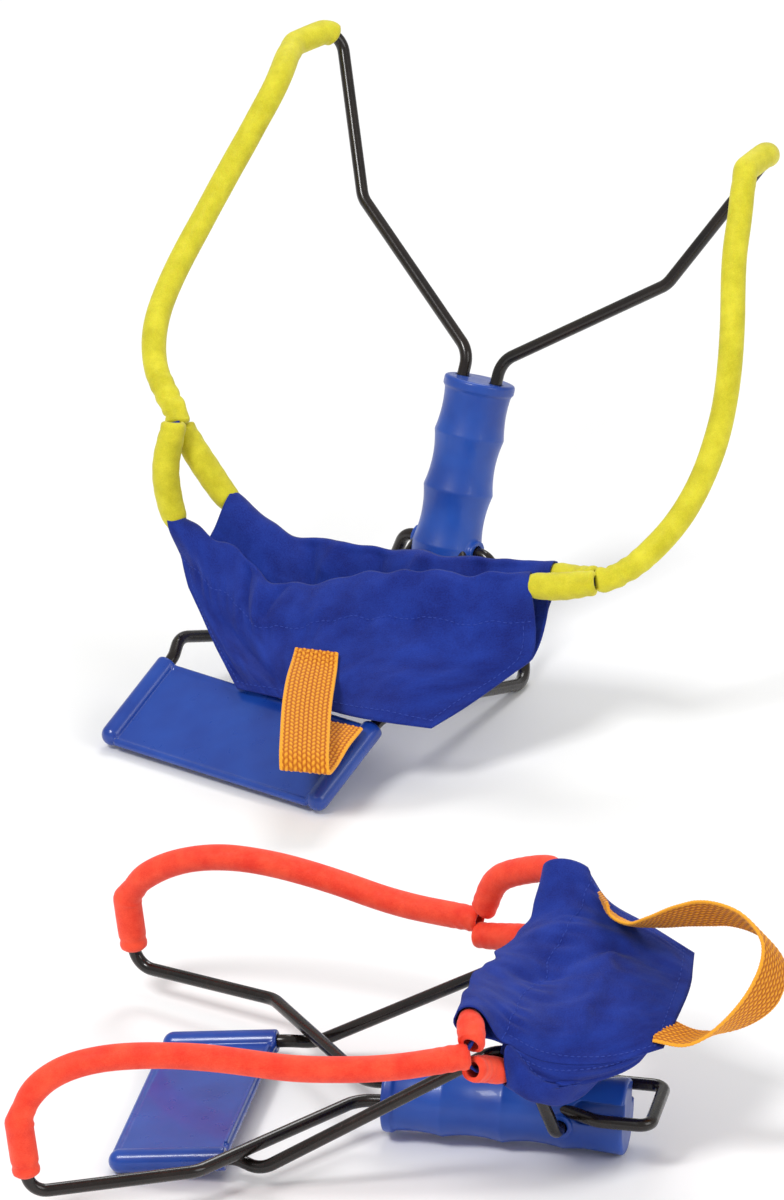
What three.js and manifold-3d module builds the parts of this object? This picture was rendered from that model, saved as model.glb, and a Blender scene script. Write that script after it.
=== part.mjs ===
// A pair of hand-held water-balloon launchers with wrist braces that fold.
// Millimetres, +Z up. The yellow launcher stands on its open brace, the red one lies with
// its brace folded. Each is drawn in its own frame, with the middle of the grip's top face
// as origin, x across the fork, y away from the user and z up the grip.

import * as THREE from 'three';
import { mergeVertices } from 'three/addons/utils/BufferGeometryUtils.js';
import Module from 'manifold-3d';

const wasm = await Module();
wasm.setup();

// Stock and fits
const rodDiameter = 6.35;
const rodSides = 8;
const fitGap = 0.35;
const bendRadius = 14;
const tubingDiameter = 12.7;
const tubingBore = 7.6;
const tubingSides = 10;
const tubingBoreSides = 8;

// Grip
const gripLength = 117;
const gripTopRadius = 18.4;
const gripWaistRadius = 16.3;
const gripRidgeRadius = 18.1;
const gripBaseRadius = 18.6;
const gripRidges = [29, 58, 87];
const gripWaistDrop = 6;
const gripWaistFlare = 1;
const gripHeelDrop = 97;
const gripHeelRadius = 17.2;
const gripEdge = 1.6;
const gripFacets = 24;
const scallopSteps = 5;
const rodSpacing = 21;
const pivotDrop = 87;
const pivotInnerEnd = 8.5;
const pivotBossRadius = 6.2;
const pivotBossStand = 1.2;
const slotLength = 26;
const slotWidth = 9.5;
const slotWeb = 2.2;

// Fork rod: one bent rod from tip to tip, with a ring below the grip. Each launcher's arms
// have their own set.
const forkRootRise = 12;
const yellowFork = {
  shoulder: { across: 97, forward: 5, up: 73 },
  corner: { across: 139, forward: 15, up: 155 },
  tip: { across: 143, forward: -14, up: 144 },
};
const redFork = {
  shoulder: { across: 96, forward: 3, up: 73 },
  corner: { across: 127, forward: 7, up: 147 },
  tip: { across: 127, forward: -27, up: 152 },
};
const tipBendRadius = 10;
const rodSetback = 7;
const ringLegDrop = 82;
const ringWidth = 44.6;
const ringDrop = 14;
const ringBendRadius = 6;
const ringLegTurn = 24;

// Brace: two bent legs and a plate, drawn folded, from the pivot axis
const elbowAcross = 27;
const elbowBendRadius = 9.5;
const legKnee = { across: 54, forward: -61, up: 16 };
const legAnkle = { across: 71, forward: 11.5, up: 134 };
const plateAcross = 65.5;
const plateStart = { forward: 9.5, up: 147 };
const yellowPlateTilt = -0.2;
const redPlateTilt = 0.13;
const plateLength = 62;
const plateThickness = 2.4;
const plateTubeDiameter = 11.5;
const plateMouth = 5;
const legInsertion = 38;
const boreClearance = 1;
const boreLead = 5;
const boreSides = 12;
const lipDiameter = 4;
const lipDepth = 1.8;
const braceTravel = THREE.MathUtils.degToRad(236);

// Soft goods
const strapWidth = 5;
const strapThickness = 1.5;
const strapFoldDepth = 8;
const sleeveLead = 7;
const sleeveParting = 6.9;
const sleeveHemGap = 4.8;
const sleeveSteps = 6;
const bandSteps = 26;
const bandTipLead = 4;
const bandTipClear = 6;
const bandArrival = 6;
const strapBendSteps = 4;
const strapLead = 2;
const webbingSteps = 20;
const clothThickness = 1.6;
const webbingWidth = 25;
const webbingThickness = 1.8;

// Where the launchers stand, from the yellow one's origin
const yellowYaw = THREE.MathUtils.degToRad(-37.2);
const redYaw = THREE.MathUtils.degToRad(79.5);
const redOffset = [-48, -583];
const yellowLeans = [-35, 5];
const redLeans = [-100, -80];

// The soft pieces of the yellow launcher, hung from its fork tips and draped over the legs.
// A band's row is its share of the way from the tip to the joint and its swing from there.
const yellowSoft = {
  fork: yellowFork,
  bareTipStations: 3,
  seamStep: { inward: 2.4, behind: 2.8, above: 0.6 },
  left: {
    joint: [-102, -114, -44],
    band: [[0.09, 9, -19, 0], [0.459, -12.5, -12, 0], [0.704, -25.5, -7, 0],
      [0.829, -24, -11, 0], [0.938, -15.5, -6.5, 0]],
    arrival: [8, -1, -16],
    parting: [0.25, -1, 0.1],
    frontMid: [[-102, -117, -68]],
    rearMid: [[-92, -98, -62]],
  },
  right: {
    joint: [140, -63, -70],
    band: [[0.09, 9.5, -7.5, 0], [0.186, 12.5, -6, 0], [0.392, 23, 3, 0], [0.557, 25, 14.5, 0],
      [0.722, 23.5, 19.5, 0], [0.86, 18, 16, 0], [0.971, 6, 9.5, 0]],
    arrival: [-14, -8, -5],
    parting: [0.4, -1, -0.1],
    frontMid: [[121, -76, -75]],
    rearMid: [[121, -56, -72]],
  },
  frontPanel: [
    [[-98, -106, -93], [-60, -109, -102], [-22, -110, -112], [14, -105, -100],
      [51, -97, -88], [78, -88, -82], [104, -76, -75]],
    [[-73.9, -113.6, -127.6], [-48.9, -117.6, -132.6], [-18.9, -119.6, -132.6], [16.1, -117.6, -127.6],
      [55.1, -111.6, -122.6], [89.1, -98.6, -119.6], [113.1, -73.6, -118.6]],
    [[-37.1, -128.7, -152.7], [-22.1, -131.7, -152.7], [-2.1, -132.7, -150.7], [21.9, -132.7, -148.7],
      [48.9, -131.7, -146.7], [75.9, -126.7, -144.7], [100.9, -105.7, -145.7]],
    [[-15.4, -138.8, -164.9], [-1.4, -138.8, -163.9], [14.6, -138.8, -162.9], [34.6, -138.8, -161.9],
      [56.6, -139.3, -160.9], [77.6, -137.8, -158.9], [94.6, -122.8, -157.9]],
  ],
  rearPanel: [
    [[-77, -84, -78], [-56, -82, -86], [-35, -79, -92], [14, -74, -85],
      [56, -71, -79], [82, -61, -74], [104, -54, -70]],
    [[-73.9, -113.6, -127.6], [-50.9, -105.6, -129.6], [-20.9, -95.6, -129.6], [16.1, -87.6, -125.6],
      [55.1, -85.6, -118.6], [89.1, -78.6, -117.6], [113.1, -73.6, -118.6]],
    [[-37.1, -128.7, -152.7], [-23.1, -123.7, -149.7], [-2.1, -121.7, -146.7], [21.9, -120.7, -143.7],
      [48.9, -119.7, -140.7], [75.9, -116.7, -138.7], [100.9, -105.7, -145.7]],
    [[-15.4, -138.8, -164.9], [-1.4, -138.8, -163.9], [14.6, -138.8, -162.9], [34.6, -138.8, -161.9],
      [56.6, -139.3, -160.9], [77.6, -137.8, -158.9], [94.6, -122.8, -157.9]],
  ],
  loop: [
    [20.2, -127.2, -136.5], [23.4, -134.9, -142.9], [29.5, -148.5, -149.6], [41.6, -167.1, -159.3],
    [58.6, -186.7, -170.8], [69.2, -196.6, -178.7], [73.8, -195.4, -183.5], [69.8, -184.4, -181.5],
    [61.8, -164.4, -172.5], [55.8, -144.4, -165.6],
  ],
  loopAcross: [[1, 0.05, 0.08], [0.8, 0.58, 0.16], [0.8, 0.58, 0.16], [1, 0, 0.05]],
};

// The soft pieces of the red launcher: the pouch lies over the bends of the folded legs.
const redSoft = {
  fork: redFork,
  bareTipStations: 5,
  seamStep: { inward: 1.2, behind: 3, above: 0 },
  left: {
    joint: [-80, -62, -49],
    band: [[0.07, -1, -13, 11], [0.17, -3, -24, 15], [0.29, -5, -27, 13],
      [0.46, -7, -22, 10], [0.67, -8, -9, 5], [0.88, -4, -1, 2]],
    arrival: [8, -3, -26],
    parting: [0.1, -1, 0.12],
    frontMid: [[-75, -76, -52]],
    rearMid: [[-78, -49, -66]],
  },
  right: {
    joint: [90, -53, -24],
    band: [[0.06, 0, -10, 6], [0.16, 1, -19, 10], [0.31, 2, -25, 8], [0.52, 4, -19, 4],
      [0.79, 6, -3, 0]],
    arrival: [-14, -2, -37],
    parting: [0.3, -1, 0],
    frontMid: [[88, -75, -32], [84, -82, -42]],
    rearMid: [[80, -47, -42]],
  },
  frontPanel: [
    [[-66, -79, -45], [-45, -80, -45], [-22, -79, -46], [0, -76, -49], [25, -74, -54],
      [48, -78, -60], [70, -92, -62]],
    [[-63, -63, -68], [-48, -69, -70], [-24, -70, -73], [0, -71, -76], [28, -77, -80],
      [50, -85, -82], [69, -95, -83]],
    [[-53, -51, -84], [-42, -60, -88], [-20, -65, -92], [4, -70, -94], [28, -76, -95],
      [48, -81, -96], [61, -83, -95]],
    [[-40, -46, -110], [-30, -54, -111], [-12, -61, -113], [10, -67, -113], [30, -71, -112],
      [46, -74, -113], [57, -74, -116]],
    [[-18, -47, -136], [-8, -50, -137], [4, -54, -139], [17, -57, -140.5], [29, -60, -141],
      [40, -63, -140], [50, -65, -139]],
  ],
  rearPanel: [
    [[-63, -42, -67], [-54, -29, -84], [-32, -24, -99], [4, -23, -104], [35, -27, -98],
      [56, -38, -80], [69, -50, -55]],
    [[-63, -63, -68], [-59, -43, -80], [-36, -33, -101], [4, -31, -108], [38, -37, -100],
      [61, -62, -80], [69, -95, -83]],
    [[-53, -51, -84], [-49, -38, -93], [-30, -37, -112], [6, -39, -117], [36, -44, -110],
      [56, -62, -95], [61, -83, -95]],
    [[-40, -46, -110], [-34, -43, -117], [-20, -43, -124], [8, -46, -127], [32, -52, -124],
      [47, -62, -119], [57, -74, -116]],
    [[-18, -47, -136], [-8, -50, -137], [4, -54, -139], [17, -57, -140.5], [29, -60, -141],
      [40, -63, -140], [50, -65, -139]],
  ],
  loop: [[42, -84, -103], [36, -89, -116], [30, -94, -136], [25, -99, -155], [18, -97, -172],
    [10, -87, -183], [2, -72, -181], [-6, -58, -168], [-14, -50, -152], [-19, -48, -142]],
  loopAcross: [[0.86, -0.05, 0.5], [0.56, 0.73, -0.38], [0.56, 0.73, -0.38], [0.7, 0.2, -0.3]],
};

const toVector = (p) => new THREE.Vector3(...p);
const mirrored = (point, side) => new THREE.Vector3(side * point.across, point.forward, point.up);

// A curve through fixed stations, one step for each, so that a swept bend has only the
// sections that it needs.
class StationCurve extends THREE.Curve {
  constructor(stations) {
    super();
    this.stations = stations;
  }

  getPoint(t, target = new THREE.Vector3()) {
    const last = this.stations.length - 1;
    const low = Math.min(Math.floor(t * last), last - 1);
    return target.lerpVectors(this.stations[low], this.stations[low + 1], t * last - low);
  }

  getTangent(t, target = new THREE.Vector3()) {
    const last = this.stations.length - 1;
    const at = Math.round(t * last);
    const before = this.stations[Math.max(at - 1, 0)];
    const here = this.stations[at];
    const after = this.stations[Math.min(at + 1, last)];
    const into = here.clone().sub(before).normalize();
    return target.subVectors(after, here).normalize().add(into).normalize();
  }

  getUtoTmapping(u) {
    return u;
  }
}

// Stations along straight runs joined by round bends. Each corner is { at, radius }.
function bentRun(corners, bendSteps = 5) {
  const stations = [corners[0].at.clone()];
  for (let i = 1; i < corners.length - 1; i += 1) {
    const corner = corners[i];
    const back = corners[i - 1].at.clone().sub(corner.at).normalize();
    const ahead = corners[i + 1].at.clone().sub(corner.at).normalize();
    const halfAngle = back.angleTo(ahead) / 2;
    const reach = corner.radius / Math.tan(halfAngle);
    const centre = back.clone().add(ahead).normalize();
    centre.multiplyScalar(corner.radius / Math.sin(halfAngle)).add(corner.at);
    const first = back.multiplyScalar(reach).add(corner.at).sub(centre);
    const last = ahead.multiplyScalar(reach).add(corner.at).sub(centre);
    const turn = first.angleTo(last);
    const axis = first.clone().cross(last).normalize();
    for (let step = 0; step <= bendSteps; step += 1) {
      const spoke = first.clone().applyAxisAngle(axis, (turn * step) / bendSteps);
      stations.push(spoke.add(centre));
    }
  }
  stations.push(corners[corners.length - 1].at.clone());
  return stations;
}

function polygonPoints(radius, sides) {
  const points = [];
  for (let i = 0; i < sides; i += 1) {
    const angle = ((i + 0.5) * 2 * Math.PI) / sides;
    points.push(new THREE.Vector2(radius * Math.cos(angle), radius * Math.sin(angle)));
  }
  return points;
}

function sweep(stations, shape) {
  const options = { steps: stations.length - 1, extrudePath: new StationCurve(stations) };
  return new THREE.ExtrudeGeometry(shape, options);
}

const rodGeometry = (stations, diameter = rodDiameter) => (
  sweep(stations, new THREE.Shape(polygonPoints(diameter / 2, rodSides)))
);

function tubingGeometry(stations) {
  const wall = new THREE.Shape(polygonPoints(tubingDiameter / 2, tubingSides));
  wall.holes.push(new THREE.Path(polygonPoints(tubingBore / 2, tubingBoreSides)));
  return sweep(stations, wall);
}

function bufferFrom(positions, index) {
  const geometry = new THREE.BufferGeometry();
  geometry.setAttribute('position', new THREE.Float32BufferAttribute(positions, 3));
  geometry.setIndex(index);
  return geometry;
}

// Flat webbing along a route; across gives the direction of its width at a share of the way.
function webbingGeometry(route, across, width, thickness) {
  const curve = new StationCurve(route);
  const last = route.length - 1;
  const rings = route.map((centre, i) => {
    const along = curve.getTangent(i / last);
    const side = across(i / last);
    side.addScaledVector(along, -side.dot(along)).normalize();
    const up = along.clone().cross(side).multiplyScalar(thickness / 2);
    side.multiplyScalar(width / 2);
    return [
      centre.clone().add(side).add(up),
      centre.clone().sub(side).add(up),
      centre.clone().sub(side).sub(up),
      centre.clone().add(side).sub(up),
    ];
  });
  const count = rings[0].length;
  const end = last * count;
  const index = [0, 2, 1, 0, 3, 2, end, end + 1, end + 2, end, end + 2, end + 3];
  for (let ring = 0; ring < end; ring += count) {
    for (let i = 0; i < count; i += 1) {
      const a = ring + i;
      const b = ring + ((i + 1) % count);
      index.push(a, b, b + count, a, b + count, a + count);
    }
  }
  return bufferFrom(rings.flat().flatMap((p) => p.toArray()), index);
}

// A cloth panel: a smooth sheet through rows of points, given its thickness.
const panelColumns = 15;
const panelRowSteps = 3;

function panelGeometry(rows, seamStep) {
  const shaped = rows.map((row, r) => {
    const seamed = row.map((p, c) => {
      const onSeam = r === rows.length - 1 || (r > 0 && (c === 0 || c === row.length - 1));
      const inward = seamStep.inward * (1 - (2 * c) / (row.length - 1));
      const step = new THREE.Vector3(inward, seamStep.behind, seamStep.above);
      return onSeam ? toVector(p).add(step) : toVector(p);
    });
    return new THREE.CatmullRomCurve3(seamed, false, 'centripetal').getPoints(panelColumns - 1);
  });
  const steps = (rows.length - 1) * panelRowSteps;
  const columns = shaped[0].map((_, c) => (
    new THREE.CatmullRomCurve3(shaped.map((row) => row[c]), false, 'centripetal').getPoints(steps)
  ));
  const at = (c, r) => columns[c][r];
  const wide = columns.length;
  const tall = steps + 1;
  const normal = (c, r) => {
    const over = at(Math.min(c + 1, wide - 1), r).clone().sub(at(Math.max(c - 1, 0), r));
    const down = at(c, Math.min(r + 1, tall - 1)).clone().sub(at(c, Math.max(r - 1, 0)));
    return over.cross(down).normalize();
  };
  const positions = [];
  for (const side of [0.5, -0.5]) {
    for (let r = 0; r < tall; r += 1) {
      for (let c = 0; c < wide; c += 1) {
        const skin = normal(c, r).multiplyScalar(side * clothThickness).add(at(c, r));
        positions.push(...skin.toArray());
      }
    }
  }
  const index = [];
  const back = wide * tall;
  const rim = [];
  for (let r = 0; r < tall - 1; r += 1) {
    for (let c = 0; c < wide - 1; c += 1) {
      const a = r * wide + c;
      const b = a + 1;
      index.push(a, b + wide, b, a, a + wide, b + wide);
      index.push(a + back, b + back, b + wide + back, a + back, b + wide + back, a + wide + back);
    }
  }
  for (let c = 0; c < wide; c += 1) rim.push(c);
  for (let r = 1; r < tall; r += 1) rim.push(r * wide + wide - 1);
  for (let c = wide - 2; c >= 0; c -= 1) rim.push((tall - 1) * wide + c);
  for (let r = tall - 2; r > 0; r -= 1) rim.push(r * wide);
  rim.forEach((a, i) => {
    const b = rim[(i + 1) % rim.length];
    index.push(a, b, b + back, a, b + back, a + back);
  });
  const geometry = bufferFrom(positions, index);
  return signedVolume(geometry) < 0 ? flipped(geometry) : geometry;
}

function signedVolume(geometry) {
  const { array } = geometry.getAttribute('position');
  const corner = (i) => new THREE.Vector3().fromArray(array, 3 * i);
  let sum = 0;
  for (let i = 0; i < geometry.index.count; i += 3) {
    const [a, b, c] = [0, 1, 2].map((k) => corner(geometry.index.array[i + k]));
    sum += a.dot(b.cross(c));
  }
  return sum;
}

function flipped(geometry) {
  const { array } = geometry.index;
  for (let i = 0; i < array.length; i += 3) [array[i], array[i + 1]] = [array[i + 1], array[i]];
  return geometry;
}

// Solids for joining and cutting
function toSolid(geometry) {
  const bare = geometry.clone();
  bare.deleteAttribute('normal');
  bare.deleteAttribute('uv');
  const merged = mergeVertices(bare, 1e-4);
  const vertProperties = new Float32Array(merged.getAttribute('position').array);
  const triVerts = new Uint32Array(merged.index.array);
  return new wasm.Manifold(new wasm.Mesh({ numProp: 3, vertProperties, triVerts }));
}

function fromSolid(solid) {
  const mesh = solid.getMesh();
  return bufferFrom(Array.from(mesh.vertProperties), Array.from(mesh.triVerts));
}

const moved = (geometry, x, y, z) => geometry.translate(x, y, z);

function cylinderAcross(radius, length, x, y, z) {
  return moved(new THREE.CylinderGeometry(radius, radius, length, 20).rotateZ(Math.PI / 2), x, y, z);
}

// Fork rod
function forkCorners(side, fork) {
  const spacing = rodSpacing / 2;
  return [
    { at: mirrored(fork.tip, side) },
    { at: mirrored(fork.corner, side), radius: tipBendRadius },
    { at: mirrored(fork.shoulder, side), radius: bendRadius },
    { at: new THREE.Vector3(side * spacing, 0, forkRootRise), radius: bendRadius },
    { at: new THREE.Vector3(side * spacing, -rodSetback, -ringLegDrop), radius: bendRadius },
    {
      at: new THREE.Vector3((side * ringWidth) / 2, -rodSetback, -ringLegDrop - ringLegTurn),
      radius: bendRadius,
    },
    {
      at: new THREE.Vector3((side * ringWidth) / 2, -rodSetback, -gripLength - ringDrop),
      radius: ringBendRadius,
    },
  ];
}

const forkStations = (fork) => (
  bentRun([...forkCorners(-1, fork), ...forkCorners(1, fork).reverse()], 4)
);

// Grip: a turned body with finger scallops, bored for the rod and slotted at the base
function gripProfile() {
  const profile = [
    new THREE.Vector2(0, 0),
    new THREE.Vector2(gripTopRadius - gripEdge, 0),
    new THREE.Vector2(gripTopRadius, -gripEdge),
    new THREE.Vector2(gripTopRadius, -gripWaistDrop + gripWaistFlare),
  ];
  const stops = [gripWaistDrop, ...gripRidges];
  for (let i = 0; i < stops.length - 1; i += 1) {
    const from = i === 0 ? gripWaistRadius + gripWaistFlare : gripRidgeRadius;
    const span = stops[i + 1] - stops[i];
    for (let step = i === 0 ? 0 : 1; step <= scallopSteps; step += 1) {
      const share = step / scallopSteps;
      const chord = from + (gripRidgeRadius - from) * share;
      const dip = (Math.min(from, gripRidgeRadius) - gripWaistRadius) * 4 * share * (1 - share);
      profile.push(new THREE.Vector2(chord - dip, -stops[i] - span * share));
    }
  }
  profile.push(new THREE.Vector2(gripHeelRadius, -gripHeelDrop));
  profile.push(new THREE.Vector2(gripBaseRadius, -gripLength + gripEdge));
  profile.push(new THREE.Vector2(gripBaseRadius - gripEdge, -gripLength));
  profile.push(new THREE.Vector2(0, -gripLength));
  return profile.reverse();
}

function slotCutter(side) {
  const radius = slotWidth / 2;
  const shape = new THREE.Shape();
  const top = -pivotDrop - rodDiameter / 2 - slotWeb;
  shape.moveTo(-radius, top - slotLength);
  shape.lineTo(radius, top - slotLength);
  shape.lineTo(radius, top - radius);
  shape.absarc(0, top - radius, radius, 0, Math.PI, false);
  const slot = new THREE.ExtrudeGeometry(shape, {
    depth: gripTopRadius, bevelEnabled: false, curveSegments: 8,
  });
  slot.rotateX(Math.PI / 2).rotateZ(Math.PI / 2);
  return moved(slot, side > 0 ? rodSpacing / 2 : -rodSpacing / 2 - gripTopRadius, -rodSetback, 0);
}

function gripGeometry(fork) {
  let body = toSolid(new THREE.LatheGeometry(gripProfile(), gripFacets).rotateX(Math.PI / 2));
  const boreDiameter = (rodDiameter + 2 * fitGap) / Math.cos(Math.PI / rodSides);
  for (const side of [-1, 1]) {
    const boss = cylinderAcross(pivotBossRadius, gripRidgeRadius, 0, 0, -pivotDrop);
    boss.translate(side * (gripRidgeRadius / 2 + pivotBossStand), 0, 0);
    body = body.add(toSolid(boss));
  }
  body = body.subtract(toSolid(rodGeometry(forkStations(fork), boreDiameter)));
  for (const side of [-1, 1]) {
    const hole = cylinderAcross(boreDiameter / 2, 2 * gripTopRadius, 0, 0, -pivotDrop);
    hole.translate(side * (pivotInnerEnd - fitGap + gripTopRadius), 0, 0);
    body = body.subtract(toSolid(hole)).subtract(toSolid(slotCutter(side)));
  }
  return fromSolid(body);
}

// Brace
function legStations(side, plateTilt) {
  const plateAxis = new THREE.Vector3(0, Math.sin(plateTilt), Math.cos(plateTilt));
  const entry = new THREE.Vector3(side * plateAcross, plateStart.forward, plateStart.up);
  return bentRun([
    { at: new THREE.Vector3(side * pivotInnerEnd, 0, 0) },
    { at: new THREE.Vector3(side * elbowAcross, 0, 0), radius: elbowBendRadius },
    { at: mirrored(legKnee, side), radius: bendRadius },
    { at: mirrored(legAnkle, side), radius: bendRadius },
    { at: entry, radius: bendRadius },
    { at: entry.clone().addScaledVector(plateAxis, legInsertion) },
  ], 4);
}

// The plate lies along z from its mouth, with y through its thickness
function plateGeometry() {
  const tubeLength = plateLength - plateMouth;
  const radius = plateTubeDiameter / 2;
  const middle = plateMouth + tubeLength / 2;
  const sheetWidth = 2 * plateAcross;
  let body = toSolid(moved(
    new THREE.BoxGeometry(sheetWidth, plateThickness, tubeLength - lipDiameter), 0, 0, middle,
  ));
  for (const side of [-1, 1]) {
    const tube = new THREE.CapsuleGeometry(radius, tubeLength - radius, 4, 14).rotateX(Math.PI / 2);
    body = body.add(toSolid(moved(tube, side * plateAcross, 0, plateMouth + tubeLength / 2)));
  }
  const ends = [plateMouth + lipDiameter / 2, plateLength - lipDiameter / 2];
  ends.forEach((z, i) => {
    body = body.add(toSolid(cylinderAcross(lipDiameter / 2, sheetWidth, 0, 0, z)));
    if (i === 0) {
      const lip = new THREE.BoxGeometry(sheetWidth - 2 * plateTubeDiameter, lipDiameter, lipDepth);
      body = body.add(toSolid(moved(lip, 0, -lipDiameter / 2, z)));
    }
  });
  const boreRadius = (rodDiameter / 2 + fitGap) / Math.cos(Math.PI / boreSides);
  const boreLength = legInsertion + boreClearance + boreLead;
  for (const side of [-1, 1]) {
    const bore = new THREE.CylinderGeometry(boreRadius, boreRadius, boreLength, boreSides);
    bore.rotateX(Math.PI / 2);
    body = body.subtract(toSolid(moved(bore, side * plateAcross, 0, boreLength / 2 - boreLead)));
  }
  return fromSolid(body);
}

// Bands, sleeves and sling straps
function bandStations(side, soft, hand) {
  const corner = mirrored(soft.fork.corner, side);
  const tip = mirrored(soft.fork.tip, side);
  const shoulder = mirrored(soft.fork.shoulder, side);
  const past = tip.clone().sub(corner).normalize().multiplyScalar(bandTipLead).add(tip);
  const bend = bentRun([{ at: shoulder }, { at: corner, radius: tipBendRadius }, { at: tip }], 4);
  const lead = bend.slice(soft.bareTipStations);
  const joint = toVector(hand.joint);
  const free = hand.band.map(([share, ...swing]) => (
    tip.clone().lerp(joint, share).add(toVector(swing))
  ));
  const last = joint.clone().addScaledVector(toVector(hand.arrival).normalize(), -bandArrival);
  const knots = [tip, past, ...free, last, joint];
  const curve = new THREE.CatmullRomCurve3(knots, false, 'centripetal');
  const run = curve.getPoints(bandSteps).filter((p) => p.distanceTo(tip) > bandTipClear);
  return [...lead, past, ...run];
}

function sleeveRoute(hand, hemEnd, mid, way) {
  const joint = toVector(hand.joint);
  const ahead = toVector(hand.arrival).normalize();
  const apart = toVector(hand.parting);
  apart.addScaledVector(ahead, -apart.dot(ahead)).normalize().multiplyScalar(way);
  const start = joint.addScaledVector(ahead, sleeveLead).addScaledVector(apart, sleeveParting);
  return { start, apart, ahead, knots: [start, ...mid.map(toVector), hemEnd] };
}

function sleeveStations(route) {
  const curve = new THREE.CatmullRomCurve3(route.knots, false, 'centripetal');
  return curve.getPoints(sleeveSteps);
}

function strapStations(hand, front, rear) {
  const joint = toVector(hand.joint);
  const { ahead } = front;
  const fold = joint.clone().addScaledVector(ahead, -strapFoldDepth + strapThickness);
  const gap = strapThickness / 2 + fitGap;
  const bend = [];
  for (let i = 0; i <= strapBendSteps; i += 1) {
    const angle = (Math.PI * i) / strapBendSteps;
    const spoke = front.apart.clone().multiplyScalar(Math.cos(angle) * gap);
    bend.push(spoke.addScaledVector(ahead, -Math.sin(angle) * gap).add(fold));
  }
  const mouth = (way) => joint.clone().addScaledVector(front.apart, way * gap);
  const frontRun = sleeveStations(front).reverse();
  const rearRun = sleeveStations(rear);
  return [
    front.hemLead, ...frontRun, front.startLead, mouth(1),
    ...bend,
    mouth(-1), rear.startLead, ...rearRun, rear.hemLead,
  ];
}

const hemEndOf = (panel, side) => toVector(panel[0][side < 0 ? 0 : panel[0].length - 1]);

// Materials
function finish(colour, roughness, metalness = 0) {
  return new THREE.MeshStandardMaterial({ color: colour, roughness, metalness });
}

const blackGloss = finish(0x17120e, 0.2, 0.4);
const gripPlastic = finish(0x1c47a0, 0.45);
const platePlastic = finish(0x1a4aa8, 0.2);
const slingNylon = finish(0x1c308c, 0.8);
const pullWebbing = finish(0xeb961e, 0.85);

function addMesh(group, name, geometry, material) {
  const mesh = new THREE.Mesh(geometry, material);
  mesh.name = name;
  group.add(mesh);
  return mesh;
}

function addBrace(group, prefix, turn, plateTilt) {
  const brace = new THREE.Group();
  brace.position.z = -pivotDrop;
  brace.rotation.x = turn;
  for (const [word, side] of [['left', -1], ['right', 1]]) {
    const leg = rodGeometry(legStations(side, plateTilt));
    addMesh(brace, `${prefix}_brace_leg_${word}`, leg, blackGloss);
  }
  const plate = addMesh(brace, `${prefix}_brace_plate`, plateGeometry(), platePlastic);
  plate.position.set(0, plateStart.forward, plateStart.up);
  plate.rotation.x = -plateTilt;
  group.add(brace);
}

function addSling(group, prefix, soft, tubing) {
  const rubber = finish(tubing, 0.75);
  for (const [word, side] of [['left', -1], ['right', 1]]) {
    const hand = soft[word];
    const band = tubingGeometry(bandStations(side, soft, hand));
    addMesh(group, `${prefix}_band_${word}`, band, rubber);
    const routes = [
      sleeveRoute(hand, hemEndOf(soft.frontPanel, side), hand.frontMid, 1),
      sleeveRoute(hand, hemEndOf(soft.rearPanel, side), hand.rearMid, -1),
    ];
    for (const route of routes) {
      const end = route.knots[route.knots.length - 1];
      const back = route.knots[route.knots.length - 2].clone().sub(end).normalize();
      end.addScaledVector(back, sleeveHemGap);
      route.hemLead = end.clone().addScaledVector(back, clothThickness + fitGap - sleeveHemGap);
      const onward = route.knots[1].clone().sub(route.start).normalize();
      route.startLead = route.start.clone().addScaledVector(onward, -strapLead);
    }
    const words = ['front', 'rear'];
    routes.forEach((route, i) => {
      const name = `${prefix}_sleeve_${word}_${words[i]}`;
      addMesh(group, name, tubingGeometry(sleeveStations(route)), rubber);
    });
    const strap = strapStations(hand, ...routes);
    const across = routes[0].apart.clone().cross(routes[0].ahead).normalize();
    const tape = webbingGeometry(strap, () => across.clone(), strapWidth, strapThickness);
    addMesh(group, `${prefix}_sling_strap_${word}`, tape, slingNylon);
  }
  const noStep = { inward: 0, behind: 0, above: 0 };
  const panels = { front: noStep, rear: soft.seamStep };
  for (const [word, seamStep] of Object.entries(panels)) {
    const panel = panelGeometry(soft[`${word}Panel`], seamStep);
    addMesh(group, `${prefix}_pouch_${word}_panel`, panel, slingNylon);
  }
  const loopCurve = new THREE.CatmullRomCurve3(soft.loop.map(toVector), false, 'centripetal');
  const across = new StationCurve(soft.loopAcross.map(toVector));
  const route = loopCurve.getPoints(webbingSteps);
  const turning = (share) => across.getPoint(share);
  const loop = webbingGeometry(route, turning, webbingWidth, webbingThickness);
  addMesh(group, `${prefix}_pull_loop`, loop, pullWebbing);
}

// One launcher: the outer group turns it on the ground, the inner one leans it
function launcher(prefix, tubing, soft, braceTurn, plateTilt, yaw) {
  const outer = new THREE.Group();
  const inner = new THREE.Group();
  addMesh(inner, `${prefix}_fork_rod`, rodGeometry(forkStations(soft.fork)), blackGloss);
  addMesh(inner, `${prefix}_grip`, gripGeometry(soft.fork), gripPlastic);
  addBrace(inner, prefix, braceTurn, plateTilt);
  addSling(inner, prefix, soft, tubing);
  outer.add(inner);
  outer.rotation.z = yaw;
  return { outer, inner };
}

function lowest(group, wanted) {
  group.updateMatrixWorld(true);
  let low = Infinity;
  group.traverse((mesh) => {
    if (mesh.isMesh && wanted.some((word) => mesh.name.includes(word))) {
      low = Math.min(low, new THREE.Box3().setFromObject(mesh, true).min.z);
    }
  });
  return low;
}

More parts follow.
